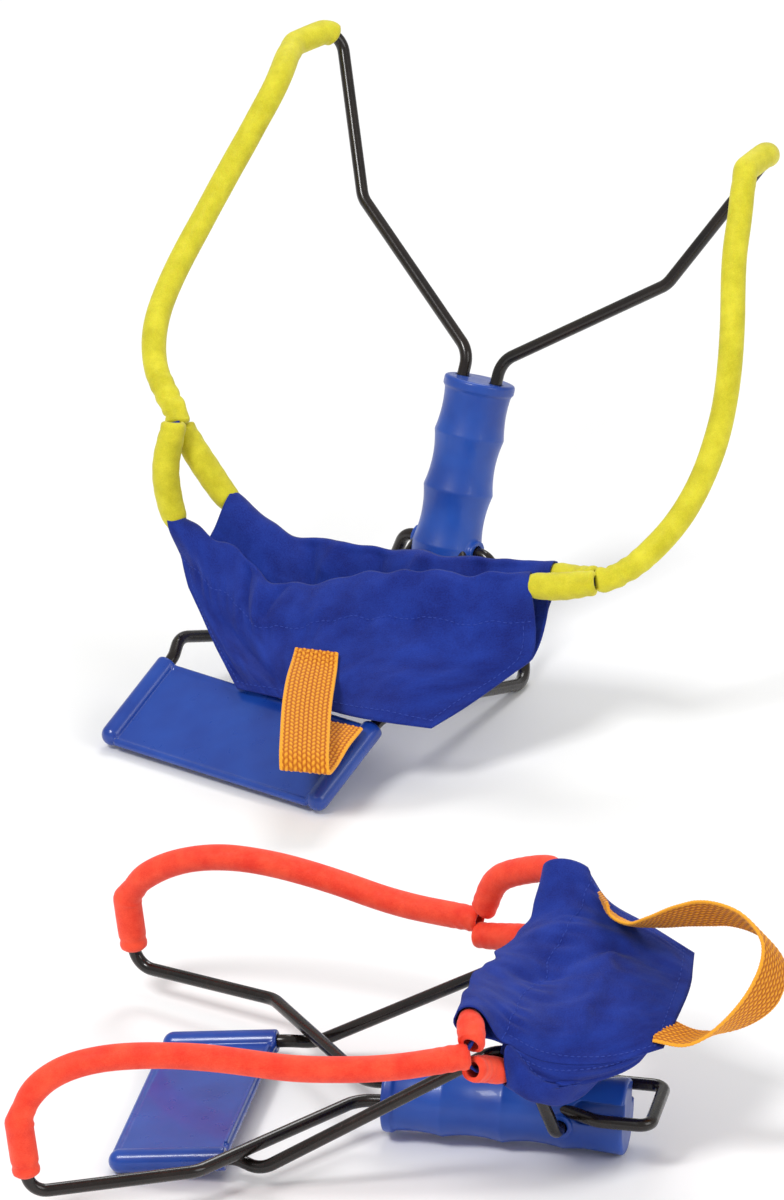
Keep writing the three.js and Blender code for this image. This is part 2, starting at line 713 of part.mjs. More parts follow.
// Leans a launcher until two of its pieces touch the ground together, then stands it there
function restOn(piece, leans, nearWords, farWords) {
  let [from, to] = leans.map(THREE.MathUtils.degToRad);
  const gap = (lean) => {
    piece.inner.rotation.x = lean;
    return lowest(piece.outer, nearWords) - lowest(piece.outer, farWords);
  };
  const startSign = Math.sign(gap(from));
  for (let i = 0; i < 30; i += 1) {
    const middle = (from + to) / 2;
    if (Math.sign(gap(middle)) === startSign) from = middle;
    else to = middle;
  }
  piece.outer.position.z -= lowest(piece.outer, [...nearWords, ...farWords]);
}

const yellow = launcher('yellow', 0xe1d72d, yellowSoft, -braceTravel, yellowPlateTilt, yellowYaw);
restOn(yellow, yellowLeans, ['brace_leg'], ['brace_plate']);

const red = launcher('red', 0xfa4123, redSoft, 0, redPlateTilt, redYaw);
restOn(red, redLeans, ['grip'], ['brace_plate']);
red.outer.position.x = redOffset[0];
red.outer.position.y = redOffset[1];

// The pair stands centred on the origin
const pair = new THREE.Group();
pair.add(yellow.outer, red.outer);
pair.updateMatrixWorld(true);
const reach = new THREE.Box3().setFromObject(pair, true);
const centre = reach.getCenter(new THREE.Vector3());
pair.position.set(-centre.x, -centre.y, -reach.min.z);
pair.updateMatrixWorld(true);

export default pair;
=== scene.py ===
import math

import bpy
import numpy as np
from mathutils import Matrix, Vector, noise


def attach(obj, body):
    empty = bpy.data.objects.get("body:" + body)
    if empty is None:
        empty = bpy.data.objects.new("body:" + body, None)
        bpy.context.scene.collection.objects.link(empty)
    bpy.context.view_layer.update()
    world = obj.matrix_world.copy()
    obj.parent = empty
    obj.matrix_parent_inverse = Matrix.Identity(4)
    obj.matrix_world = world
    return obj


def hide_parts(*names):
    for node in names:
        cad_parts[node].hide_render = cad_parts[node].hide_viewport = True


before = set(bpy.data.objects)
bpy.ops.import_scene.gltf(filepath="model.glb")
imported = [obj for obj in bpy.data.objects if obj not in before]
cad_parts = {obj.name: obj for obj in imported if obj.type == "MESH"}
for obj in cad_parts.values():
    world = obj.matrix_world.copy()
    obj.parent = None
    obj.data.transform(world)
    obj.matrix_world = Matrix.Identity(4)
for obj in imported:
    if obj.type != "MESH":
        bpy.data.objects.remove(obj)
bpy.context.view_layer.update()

# Where each launcher lies, in millimetres and degrees. Its own frame has the middle of the
# grip's top face as origin, x across the fork, y away from the user and z up the grip.
launchers = {
    "yellow": {"origin": (38.1412318, 276.3884646, 144.0751855), "yaw": -37.2,
               "lean": -18.7498, "braceTurn": -236.0, "plateTilt": -0.2},
    "red": {"origin": (-9.8587682, -306.6115354, 20.6362673), "yaw": 79.5,
            "lean": -88.9875, "braceTurn": 0.0, "plateTilt": 0.13},
}
pivotDrop = 87.0
rodDiameter = 6.35
mm = 0.001  # one millimetre in the scene
fullTurn = 2 * math.pi


def launcherPlace(who):
    spot = launchers[who]
    turn = Matrix.Rotation(math.radians(spot["yaw"]), 4, "Z")
    lean = Matrix.Rotation(math.radians(spot["lean"]), 4, "X")
    return Matrix.Scale(mm, 4) @ Matrix.Translation(spot["origin"]) @ turn @ lean


def bracePlace(who):
    fold = Matrix.Rotation(math.radians(launchers[who]["braceTurn"]), 4, "X")
    return launcherPlace(who) @ Matrix.Translation((0, 0, -pivotDrop)) @ fold


def unit(v):
    v = np.array(v, float)
    return v / np.linalg.norm(v)


def mirrored(point, side):
    return np.array([side * point[0], point[1], point[2]], float)


# A centripetal Catmull-Rom curve through the points, even in its parameter
def centripetal(points, count):
    pts = np.asarray(points, float)
    spans = len(pts) - 1
    padded = np.vstack([2 * pts[0] - pts[1], pts, 2 * pts[-1] - pts[-2]])
    out = []
    for t in np.linspace(0, spans, count):
        k = min(int(t), spans - 1)
        w = t - k
        p0, p1, p2, p3 = padded[k:k + 4]
        d0, d1, d2 = (max(np.linalg.norm(b - a), 1e-4) ** 0.5
                      for a, b in ((p0, p1), (p1, p2), (p2, p3)))
        m1 = ((p1 - p0) / d0 - (p2 - p0) / (d0 + d1) + (p2 - p1) / d1) * d1
        m2 = ((p2 - p1) / d1 - (p3 - p1) / (d1 + d2) + (p3 - p2) / d2) * d1
        out.append(p1 + m1 * w + (-3 * p1 + 3 * p2 - 2 * m1 - m2) * w ** 2
                   + (2 * p1 - 2 * p2 + m1 + m2) * w ** 3)
    return np.array(out)


# Straight rod with round bends; each corner is its point and its bend radius
def bentRun(corners, steps=12):
    pts = [np.array(corners[0][0], float)]
    for (a, _), (b, radius), (c, _) in zip(corners, corners[1:], corners[2:]):
        b = np.array(b, float)
        back, ahead = unit(np.array(a) - b), unit(np.array(c) - b)
        half = math.acos(np.clip(back @ ahead, -1, 1)) / 2
        middle = unit(back + ahead) * radius / math.sin(half) + b
        first = back * radius / math.tan(half) + b - middle
        last = ahead * radius / math.tan(half) + b - middle
        turn = math.pi - 2 * half
        for step in range(steps + 1):
            share = step / steps
            spoke = first * math.sin((1 - share) * turn) + last * math.sin(share * turn)
            pts.append(spoke / math.sin(turn) + middle)
    pts.append(np.array(corners[-1][0], float))
    return np.array(pts)


def lengthsAlong(path):
    return np.concatenate([[0], np.cumsum(np.linalg.norm(np.diff(path, axis=0), axis=1))])


def evenly(path, spacing):
    along = lengthsAlong(path)
    wanted = np.linspace(0, along[-1], max(int(along[-1] / spacing), 2) + 1)
    return np.column_stack([np.interp(wanted, along, path[:, k]) for k in range(3)])


def tangentsOf(path):
    step = np.gradient(path, axis=0)
    return step / np.linalg.norm(step, axis=1)[:, None]


# Two directions across the path at each point, carried along it without twist
def carriedFrames(path):
    along = tangentsOf(path)
    side = np.cross(along[0], (0.31, 0.27, 0.91))
    sides = []
    for t in along:
        side = unit(side - (side @ t) * t)
        sides.append(side)
    sides = np.array(sides)
    return sides, np.cross(along, sides)


def anglesRound(count):
    return np.arange(count) * fullTurn / count


def gridFaces(rows, columns, closed):
    wrap = columns if closed else columns - 1
    return [(r * columns + c, r * columns + (c + 1) % columns,
             (r + 1) * columns + (c + 1) % columns, (r + 1) * columns + c)
            for r in range(rows - 1) for c in range(wrap)]


# A round bar or tube along the path; radii holds one value a point, or one a point and side
def sweepTube(path, radii, sides, bore=None):
    path = np.asarray(path, float)
    side, other = carriedFrames(path)
    angle = anglesRound(sides)
    radii = np.broadcast_to(np.asarray(radii, float).reshape(len(path), -1), (len(path), sides))
    ring = (side[:, None] * np.cos(angle)[None, :, None]
            + other[:, None] * np.sin(angle)[None, :, None])
    verts = (path[:, None] + ring * radii[:, :, None]).reshape(-1, 3)
    faces = gridFaces(len(path), sides, True)
    last = (len(path) - 1) * sides
    if bore is None:
        verts = np.vstack([verts, path[0], path[-1]])
        first, end = len(verts) - 2, len(verts) - 1
        faces += [(first, (k + 1) % sides, k) for k in range(sides)]
        faces += [(end, last + k, last + (k + 1) % sides) for k in range(sides)]
        return verts, faces
    count = len(verts)
    verts = np.vstack([verts, (path[:, None] + ring * bore).reshape(-1, 3)])
    faces += [tuple(count + k for k in reversed(face)) for face in faces]
    for k in range(sides):
        n = (k + 1) % sides
        faces.append((k, count + k, count + n, n))
        faces.append((last + k, last + n, count + last + n, count + last + k))
    return verts, faces


def addObject(name, data):
    obj = bpy.data.objects.new(name, data)
    bpy.context.scene.collection.objects.link(obj)
    return obj


def addMesh(name, verts, faces, place, material, uv=None, weaveShade=None):
    mesh = bpy.data.meshes.new(name)
    mesh.from_pydata([place @ Vector(v) for v in np.asarray(verts).tolist()], [], faces)
    if uv is not None:
        layer = mesh.uv_layers.new(name="cut")
        corners = np.zeros(len(mesh.loops), dtype=np.int64)
        mesh.loops.foreach_get("vertex_index", corners)
        layer.data.foreach_set("uv", np.asarray(uv, float)[corners].ravel())
    # The depth attribute carries the webbing's painted shade, darker in the weave's hollows
    if weaveShade is not None:
        mesh.attributes.new("depth", "FLOAT", "POINT").data.foreach_set("value", weaveShade)
    mesh.shade_smooth()
    mesh.materials.append(material)
    return addObject(name, mesh)


def withModifier(obj, kind, **values):
    modifier = obj.modifiers.new(kind.lower(), kind)
    for key, value in values.items():
        setattr(modifier, key, value)
    return modifier


# Makes the object's modifiers into its mesh
def baked(obj):
    graph = bpy.context.evaluated_depsgraph_get()
    mesh = bpy.data.meshes.new_from_object(obj.evaluated_get(graph))
    obj.modifiers.clear()
    obj.data = mesh
    return obj


def settle(obj, body, node):
    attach(obj, body)
    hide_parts(node)
    return obj


# A finished piece of the launcher that doesn't move, in the place of its CAD node
def addPiece(who, node, slot, finish, verts, faces, uv=None, weaveShade=None):
    place = launcherPlace(who)
    obj = addMesh(node + "Dressed", verts, faces, place, finishes[finish], uv, weaveShade)
    return settle(obj, "root", node)


# A colour as it is seen, 0 to 255, in the numbers that a shader takes
def paint(red, green, blue):
    def one(c):
        c /= 255
        return c / 12.92 if c <= 0.04045 else ((c + 0.055) / 1.055) ** 2.4
    return (one(red), one(green), one(blue), 1)


# One node of a tree; an input takes a value or another node's output
def addNode(tree, kind, inputs=None, **settings):
    made = tree.nodes.new(kind)
    for key, value in settings.items():
        setattr(made, key, value)
    for key, value in (inputs or {}).items():
        if isinstance(value, bpy.types.NodeSocket):
            tree.links.new(value, made.inputs[key])
        else:
            made.inputs[key].default_value = value
    return made


# One procedural material and short ways to wire it. Its patterns are laid out in millimetres,
# and its bump heights are in metres, as Blender takes them.
class Finish:
    def __init__(self, name, **values):
        self.material = bpy.data.materials.new(name)
        self.material.use_nodes = True
        self.tree = self.material.node_tree
        self.shader = self.tree.nodes["Principled BSDF"]
        for socket, value in values.items():
            self.shader.inputs[socket.replace("_", " ")].default_value = value

    def node(self, kind, inputs=None, **settings):
        return addNode(self.tree, kind, inputs, **settings)

    def coordinates(self, kind="Object"):
        where = self.node("ShaderNodeTexCoord").outputs[kind]
        inputs = {"Vector": where, "Scale": (1000, 1000, 1000)}
        return self.node("ShaderNodeMapping", inputs).outputs["Vector"]

    def noise(self, where, scale, detail=3.0, rough=0.5):
        inputs = {"Vector": where, "Scale": scale, "Detail": detail, "Roughness": rough}
        return self.node("ShaderNodeTexNoise", inputs).outputs["Fac"]

    def remap(self, source, given, known=(0.3, 0.7)):
        inputs = {"Value": source, "From Min": known[0], "From Max": known[1],
                  "To Min": given[0], "To Max": given[1]}
        return self.node("ShaderNodeMapRange", inputs).outputs["Result"]

    def math(self, operation, first, second=0.0):
        return self.node("ShaderNodeMath", {0: first, 1: second}, operation=operation).outputs[0]

    def blend(self, parts):
        total = 0.0
        for share, source in parts:
            total = self.math("ADD", self.math("MULTIPLY", source, share), total)
        return total

    def mixed(self, factor, first, second):
        ramp = self.node("ShaderNodeValToRGB", {"Fac": factor})
        ramp.color_ramp.elements[0].color = first
        ramp.color_ramp.elements[1].color = second
        return ramp.outputs["Color"]

    def bump(self, height, distance, strength=1.0, under=None):
        inputs = {"Strength": strength, "Distance": distance, "Height": height}
        if under is not None:
            inputs["Normal"] = under
        return self.node("ShaderNodeBump", inputs).outputs["Normal"]

    def give(self, **sockets):
        for socket, source in sockets.items():
            self.tree.links.new(source, self.shader.inputs[socket.replace("_", " ")])
        return self.material


# A noise is its scale in waves a millimetre, its detail and its roughness. Tones are noises,
# each after its share, and toneFrom is what they run between. A bump is its height, its
# strength and its noise, and threads are the height and strength of the plain weave's.
looks = {
    "rod": {
        "shader": {"IOR": 1.5, "Specular_IOR_Level": 0.32, "Coat_Roughness": 0.05},
        "tones": [(1, 0.05, 4)], "toneFrom": (0.3, 0.7), "rough": (0.35, 5),
        "bumps": [(0.00014, 0.2, 0.45, 2)],
    },
    "moulded": {
        "shader": {"IOR": 1.47, "Coat_Roughness": 0.08},
        "tones": [(1, 0.035, 3)], "toneFrom": (0.3, 0.7), "rough": (0.12, 4),
        "bumps": [(0.00008, 0.35, 1.6, 2), (0.0006, 0.3, 0.06, 2)],
    },
    "rubber": {
        "shader": {"IOR": 1.5, "Subsurface_Weight": 0.06, "Subsurface_Scale": 0.004,
                   "Sheen_Roughness": 0.5, "Specular_IOR_Level": 0.35},
        "tones": [(0.6, 0.09, 5, 0.6), (0.4, 2.2, 3, 0.6)],
        "toneFrom": (0.38, 0.62), "rough": (0.4, 4),
        "bumps": [(0.0004, 0.4, 1.3, 4, 0.6)],
    },
    "woven": {
        "shader": {"IOR": 1.45, "Sheen_Roughness": 0.45, "Specular_IOR_Level": 0.25},
        "layout": "UV", "tones": [(0.5, 1.3, 5, 0.65), (0.5, 0.05, 4, 0.6)],
        "toneFrom": (0.38, 0.64), "rough": (0.03, 3),
        "threads": (0.00014, 0.4), "bumps": [(0.0004, 0.35, 1.3, 5, 0.65)],
    },
    "webbing": {
        "shader": {"IOR": 1.45, "Sheen_Roughness": 0.4, "Specular_IOR_Level": 0.3},
        "layout": "UV", "tones": [(0.7, 1.6, 5, 0.65)], "toneFrom": (0.43, 1.2),
        "roughLayout": "UV", "rough": (1.6, 5, 0.65), "bumps": [(0.0005, 0.4, 1.6, 5, 0.65)],
    },
}


# A finish of one of the looks, between two tones and two roughnesses. Plain weave has a pitch
# of thread in the piece's cut coordinates; webbing has painted shade where its mesh's depth is
# low, in the hollows of its weave.
def dressed(kind, name, dark, light, roughs, thread=None, **values):
    look = looks[kind]
    made = Finish(name, **look["shader"], **values)
    where = made.coordinates(look.get("layout", "Object"))
    parts = [(share, made.noise(where, *pattern)) for share, *pattern in look["tones"]]
    surface = None
    if thread:
        split = made.node("ShaderNodeSeparateXYZ", {"Vector": where}).outputs
        ridges = [made.math("SINE", made.math("MULTIPLY", split[axis], fullTurn / thread))
                  for axis in ("X", "Y")]
        surface = made.bump(made.math("MULTIPLY", *ridges), *look["threads"])
    # Painted shade: the webbing's colour darkens in the low places of its weave
    if kind == "webbing":
        depth = made.node("ShaderNodeAttribute", attribute_name="depth").outputs["Fac"]
        parts.append((1, depth))
    tone = made.remap(made.blend(parts), (0, 1), look["toneFrom"])
    rough = made.noise(made.coordinates(look.get("roughLayout", "Object")), *look["rough"])
    for height, strength, *pattern in look["bumps"]:
        surface = made.bump(made.noise(where, *pattern), height, strength, surface)
    return made.give(Base_Color=made.mixed(tone, dark, light),
                     Roughness=made.remap(rough, roughs), Normal=surface)


finishes = {
    "rod": dressed("rod", "blackRod", paint(13, 10, 9), paint(34, 25, 20), (0.2, 0.32),
                   Coat_Weight=0.35),
    "grip": dressed("moulded", "gripPlastic", paint(22, 62, 152), paint(30, 82, 178),
                    (0.34, 0.46), Coat_Weight=0.15),
    "plate": dressed("moulded", "platePlastic", paint(18, 56, 146), paint(26, 72, 166),
                     (0.26, 0.36), Coat_Weight=0.3),
    "yellow": dressed("rubber", "yellowTubing", paint(198, 188, 18), paint(228, 218, 46),
                      (0.55, 0.75), Sheen_Weight=0.15),
    "red": dressed("rubber", "redTubing", paint(236, 48, 22), paint(255, 82, 48),
                   (0.55, 0.75), Sheen_Weight=0.15),
    "nylon": dressed("woven", "slingNylon", paint(16, 32, 116), paint(31, 60, 160),
                     (0.7, 0.86), 0.55, Sheen_Weight=0.07),
    "thread": dressed("woven", "seamThread", paint(34, 56, 150), paint(58, 84, 184),
                      (0.7, 0.86), 0.3, Sheen_Weight=0.1),
    "webbing": dressed("webbing", "pullWebbing", paint(176, 84, 6), paint(250, 172, 46),
                       (0.65, 0.85), Sheen_Weight=0.2),
    "webThread": dressed("woven", "loopThread", paint(214, 128, 20), paint(250, 178, 60),
                         (0.7, 0.86), 0.3, Sheen_Weight=0.1),
}
print("stage: finishes")

# Each launcher's fork arms, and the sizes that both forks share
forkRod = {
    "yellow": {"tip": (143, -14, 144), "corner": (139, 15, 155), "shoulder": (97, 5, 73)},
    "red": {"tip": (127, -27, 152), "corner": (127, 7, 147), "shoulder": (96, 3, 73)},
    "rootRise": 12, "spacing": 21, "setback": 7, "ringLegDrop": 82, "ringLegTurn": 24,
    "ringWidth": 44.6, "ringFoot": 131, "bend": 14, "tipBend": 10, "ringBend": 6,
    "endRound": 0.8, "sides": 28, "sharpFrom": 60,
}
braceRod = {
    "innerEnd": 8.5, "elbow": 27, "elbowBend": 9.5, "knee": (54, -61, 16),
    "ankle": (71, 11.5, 134), "bend": 14, "insertion": 38,
}


def rodMesh(node, corners, place, body):
    path = bentRun(corners)
    near = unit(path[1] - path[0]) * forkRod["endRound"]
    far = unit(path[-2] - path[-1]) * forkRod["endRound"]
    path = np.vstack([path[0], path[0] + near, path[1:-1], path[-1] + far, path[-1]])
    radii = np.full(len(path), rodDiameter / 2)
    radii[[0, -1]] -= forkRod["endRound"]
    verts, faces = sweepTube(path, radii, forkRod["sides"])
    obj = addMesh(node + "Dressed", verts, faces, place, finishes["rod"])
    obj.data.set_sharp_from_angle(angle=math.radians(forkRod["sharpFrom"]))
    return settle(obj, body, node)


def forkHalf(who, side):
    rod, arm = forkRod, forkRod[who]
    half, drop, wide = rod["spacing"] / 2, rod["ringLegDrop"], rod["ringWidth"] / 2
    points = [
        (arm["tip"], 0), (arm["corner"], rod["tipBend"]), (arm["shoulder"], rod["bend"]),
        ((half, 0, rod["rootRise"]), rod["bend"]), ((half, -rod["setback"], -drop), rod["bend"]),
        ((wide, -rod["setback"], -drop - rod["ringLegTurn"]), rod["bend"]),
        ((wide, -rod["setback"], -rod["ringFoot"]), rod["ringBend"]),
    ]
    return [(mirrored(point, side), radius) for point, radius in points]


def braceCorners(who, side):
    tilt, (forward, up) = launchers[who]["plateTilt"], plate["start"]
    entry = np.array([plate["across"], forward, up])
    inside = entry + np.array([0, math.sin(tilt), math.cos(tilt)]) * braceRod["insertion"]
    points = [
        ((braceRod["innerEnd"], 0, 0), 0), ((braceRod["elbow"], 0, 0), braceRod["elbowBend"]),
        (braceRod["knee"], braceRod["bend"]), (braceRod["ankle"], braceRod["bend"]),
        (entry, braceRod["bend"]), (inside, 0),
    ]
    return [(mirrored(point, side), radius) for point, radius in points]


plate = {
    "across": 65.5, "start": (9.5, 147), "length": 62, "mouth": 5, "thickness": 2.4,
    "tube": 11.5, "lip": 4, "lipDepth": 1.8, "play": 0.3, "rim": 1.2, "overlap": 1.3,
    "boreSpare": 1, "facets": 48, "rimSteps": 12, "voxel": 0.6, "smoothing": 2,
}


def primitive(kind, place, **values):
    getattr(bpy.ops.mesh, f"primitive_{kind}_add")(**values)
    obj = bpy.context.object
    obj.data.transform(place)
    obj.matrix_world = Matrix()
    return obj


# A plain cylinder from a to b, for joining and cutting
def barBetween(a, b, radius, sides=36):
    a, b = Vector(a) * mm, Vector(b) * mm
    turn = (b - a).to_track_quat("Z", "Y").to_matrix().to_4x4()
    place = Matrix.Translation((a + b) / 2) @ turn
    return primitive("cylinder", place, vertices=sides, radius=radius * mm,
                     depth=(b - a).length)


def combine(obj, tools, operation):
    for tool in tools:
        withModifier(obj, "BOOLEAN", operation=operation, solver="EXACT", object=tool)
        baked(obj)
        bpy.data.objects.remove(tool, do_unlink=True)
    return obj


# One skin over the joined forms, with its hard corners eased as a mould leaves them
def softened(obj, sizes, place, finish):
    withModifier(obj, "REMESH", mode="VOXEL", voxel_size=sizes["voxel"] * mm)
    baked(obj)
    withModifier(obj, "SMOOTH", factor=0.5, iterations=sizes["smoothing"])
    baked(obj)
    obj.data.transform(place @ Matrix.Scale(1 / mm, 4))
    obj.data.materials.clear()
    obj.data.materials.append(finish)
    obj.data.shade_smooth()
    return obj


# A solid of revolution about the z axis, from pairs of radius and height up its outside
def turned(name, profile, facets, finish, x=0):
    rings = [[(rad * math.cos(a), rad * math.sin(a), z) for a in anglesRound(facets)]
             for rad, z in profile[1:-1]]
    verts = np.vstack([np.array(rings).reshape(-1, 3), [(0, 0, profile[0][1])],
                       [(0, 0, profile[-1][1])]])
    count = len(rings) * facets
    last = count - facets
    faces = gridFaces(len(rings), facets, True)
    for k in range(facets):
        n = (k + 1) % facets
        faces += [(count, n, k), (count + 1, last + k, last + n)]
    return addMesh(name, (verts + np.array([x, 0, 0])) * mm, faces, Matrix(), finishes[finish])


# The plate's side tube, open at its mouth for the leg
def sideTube(x):
    radius, rim, mouth = plate["tube"] / 2, plate["rim"], plate["mouth"]
    bore, deep = rodDiameter / 2 + plate["play"], braceRod["insertion"] + plate["boreSpare"]
    quarter = np.linspace(0, math.pi / 2, plate["rimSteps"])
    foot = plate["length"] - radius
    profile = [(0, foot + radius)]
    profile += [(radius * math.sin(a), foot + radius * math.cos(a)) for a in quarter[1:]]
    profile += [(radius - rim * (1 - math.cos(a)), mouth + rim * (1 - math.sin(a)))
                for a in quarter[:-1]]
    profile += [(bore, mouth), (bore, deep), (0, deep)]
    return turned("sideTube", profile[::-1], plate["facets"], "plate", x)


def joinedTogether(parts, name):
    bpy.ops.object.select_all(action="DESELECT")
    for part in parts:
        part.select_set(True)
    bpy.context.view_layer.objects.active = parts[0]
    bpy.ops.object.join()
    parts[0].name = name
    return parts[0]


def plateMesh(who):
    lip, mouth, length = plate["lip"], plate["mouth"], plate["length"]
    wide = 2 * (plate["across"] - plate["tube"] / 2 + plate["overlap"])

    def box(y, z, deep, tall, width):
        size = Matrix.Diagonal((width * mm, deep * mm, tall * mm, 1))
        return primitive("cube", Matrix.Translation((0, y * mm, z * mm)) @ size, size=1)

    parts = [sideTube(-plate["across"]), sideTube(plate["across"]),
             box(0, (mouth + length) / 2, plate["thickness"], length - mouth - lip, wide),
             box(-lip / 2, mouth + lip / 2, lip, plate["lipDepth"],
                 2 * plate["across"] - 2 * plate["tube"])]
    for z in (length - lip / 2, mouth + lip / 2):
        parts.append(barBetween((-wide / 2, 0, z), (wide / 2, 0, z), lip / 2))
    sheet = joinedTogether(parts, f"{who}PlateDressed")
    forward, up = plate["start"]
    place = (bracePlace(who) @ Matrix.Translation((0, forward, up))
             @ Matrix.Rotation(-launchers[who]["plateTilt"], 4, "X"))
    softened(sheet, plate, place, finishes["plate"])
    return settle(sheet, f"{who}_brace", f"{who}_brace_plate")


for who in launchers:
    corners = forkHalf(who, -1) + forkHalf(who, 1)[::-1]
    rodMesh(f"{who}_fork_rod", corners, launcherPlace(who), "root")
    for word, side in (("left", -1), ("right", 1)):
        leg = f"{who}_brace_leg_{word}"
        rodMesh(leg, braceCorners(who, side), bracePlace(who), f"{who}_brace")
    plateMesh(who)
print("stage: rods and plates")

grip = {
    "length": 117.0, "top": 18.4, "waist": 16.3, "ridge": 18.1, "heel": 17.2, "base": 18.6,
    "waistDrop": 6.0, "waistFlare": 1.0, "ridges": (29.0, 58.0, 87.0), "heelDrop": 97.0,
    "edge": 1.6, "edgeSteps": 8, "facets": 128, "scallopSteps": 16, "slotLength": 26.0,
    "slotWidth": 9.5, "slotTop": 92.4, "slotReach": 30, "slotSteps": 17, "play": 0.5,
    "chamfer": 0.9, "roundFacets": 48, "boreLength": 40, "pivotReach": 30, "bossRadius": 6.2,
    "bossStand": 1.2, "voxel": 0.6, "smoothing": 2,
}


# Radius and height down the grip, from its top face to its base
def gripProfile():
    g = grip
    turns = np.linspace(0, math.pi / 2, g["edgeSteps"])
    rim = [(g["top"] - g["edge"] * (1 - math.sin(a)), -g["edge"] * (1 - math.cos(a)))
           for a in turns]
    points = [*rim, (g["top"], -g["waistDrop"] + g["waistFlare"])]
    stops = (g["waistDrop"], *g["ridges"])
    for i, (low, high) in enumerate(zip(stops, stops[1:])):
        start = g["waist"] + g["waistFlare"] if i == 0 else g["ridge"]
        for share in np.linspace(0, 1, g["scallopSteps"] + 1)[1 if i else 0:]:
            chord = start + (g["ridge"] - start) * share
            dip = (start - g["waist"]) * 4 * share * (1 - share)
            points.append((chord - dip, -low - (high - low) * share))
    points.append((g["heel"], -g["heelDrop"]))
    points += [(g["base"] - g["edge"] * (1 - math.cos(a)),
                -g["length"] + g["edge"] * (1 - math.sin(a))) for a in turns]
    return points


# A slot through the grip's side, round at its top, where the ring's leg comes out
def slotCutter(side):
    radius = grip["slotWidth"] / 2
    top, foot = -grip["slotTop"], -grip["slotTop"] - grip["slotLength"]
    outline = [(-radius, foot), (radius, foot)]
    outline += [(radius * math.cos(a), top - radius + radius * math.sin(a))
                for a in np.linspace(0, math.pi, grip["slotSteps"])]
    near, far = side * forkRod["spacing"] / 2, side * grip["slotReach"]
    verts = [(x * mm, (y - forkRod["setback"]) * mm, z * mm) for x in (near, far)
             for y, z in outline]
    n = len(outline)
    faces = [tuple(range(n)), tuple(range(2 * n - 1, n - 1, -1))]
    faces += [(k, n + k, n + (k + 1) % n, (k + 1) % n) for k in range(n)]
    if side > 0:
        faces = [face[::-1] for face in faces]
    return addMesh("slotCutter", verts, faces, Matrix(), finishes["grip"])


def gripMesh(who):
    g, half, back = grip, forkRod["spacing"] / 2, forkRod["setback"]
    profile = [(0, -g["length"]), *gripProfile()[::-1], (0, 0)]
    body = turned(f"{who}GripDressed", profile, g["facets"], "grip")
    bore, chamfer = rodDiameter / 2 + g["play"], g["chamfer"]
    heart = np.array([0, 0, -pivotDrop])
    bosses, cutters = [], []
    for side in (-1, 1):
        out = np.array([side, 0, 0])
        stand = g["ridge"] + g["bossStand"]
        bosses.append(barBetween(heart + out, heart + out * stand, g["bossRadius"],
                                 g["roundFacets"]))
        top = np.array([side * half, 0, forkRod["rootRise"]])
        slope = unit(np.array([side * half, -back, -forkRod["ringLegDrop"]]) - top)
        cutters.append(barBetween(top, top + slope * g["boreLength"], bore))
        mouth = top + slope * (forkRod["rootRise"] / abs(slope[2]))
        cutters.append(primitive("cone", Matrix.Translation(mouth * mm),
                                 vertices=g["roundFacets"], radius1=(bore - chamfer) * mm,
                                 radius2=(bore + chamfer) * mm, depth=2 * chamfer * mm))
        inner = braceRod["innerEnd"] - g["play"]
        cutters.append(barBetween(heart + out * inner, heart + out * g["pivotReach"], bore))
        cutters.append(slotCutter(side))
    combine(body, bosses, "UNION")
    combine(body, cutters, "DIFFERENCE")
    softened(body, g, launcherPlace(who), finishes["grip"])
    return settle(body, "root", f"{who}_grip")


for who in launchers:
    gripMesh(who)
print("stage: grips")

# Tubing, and how it swells over the rod and puckers where the strap draws it in. The places
# of the swell past the rod are counted from the rod's end, the crumple's from the tube's.
tubing = {
    "diameter": 12.7, "bore": 7.6, "sides": 40, "spacing": 1.2, "tipLead": 4, "tipClear": 6,
    "arrival": 6, "onward": 4.8, "sleeveLead": 7, "sleeveParting": 6.9, "sleeveBack": 3.2,
    "backLean": 0.4, "mouthDrop": 0.9, "midDrop": 0.45, "sleeveHem": 3.0,
    "sleeveSpacing": 0.8, "sleeveReach": 16, "intake": 1.9, "intakeReach": 7, "wall": 1.8,
    "smoothing": 25, "sleeveSmoothing": 17, "lump": 0.17, "lumpPitch": 20,
    "ringLean": 3.2, "bandRounds": (3.0, 1.4), "sleeveRounds": (2.2, 0.8),
    "humpAt": 2, "humpWidth": 1.9, "rodEdgeAt": 3, "rodEdgeWidth": 1.2, "neckAt": 11,
    "neckWidth": 6, "crumpleAt": 5.5, "crumpleWidth": 1.2,
    "yellow": {"bareShare": 0.5, "overRod": 0.1, "ridge": 0.15, "neck": 0.2, "crumple": 0.1,
               "pucker": 0.85, "puckerReach": 34, "pitch": 7.5, "sleevePucker": 0.45,
               "sleeveSwell": 0.75},
    "red": {"bareShare": 1.0, "overRod": 0.45, "ridge": 0.8, "neck": 0.45, "crumple": 0.9,
            "pucker": 0.5, "puckerReach": 20, "pitch": 5.6, "sleevePucker": 0.3,
            "sleeveSwell": 0.35},
}
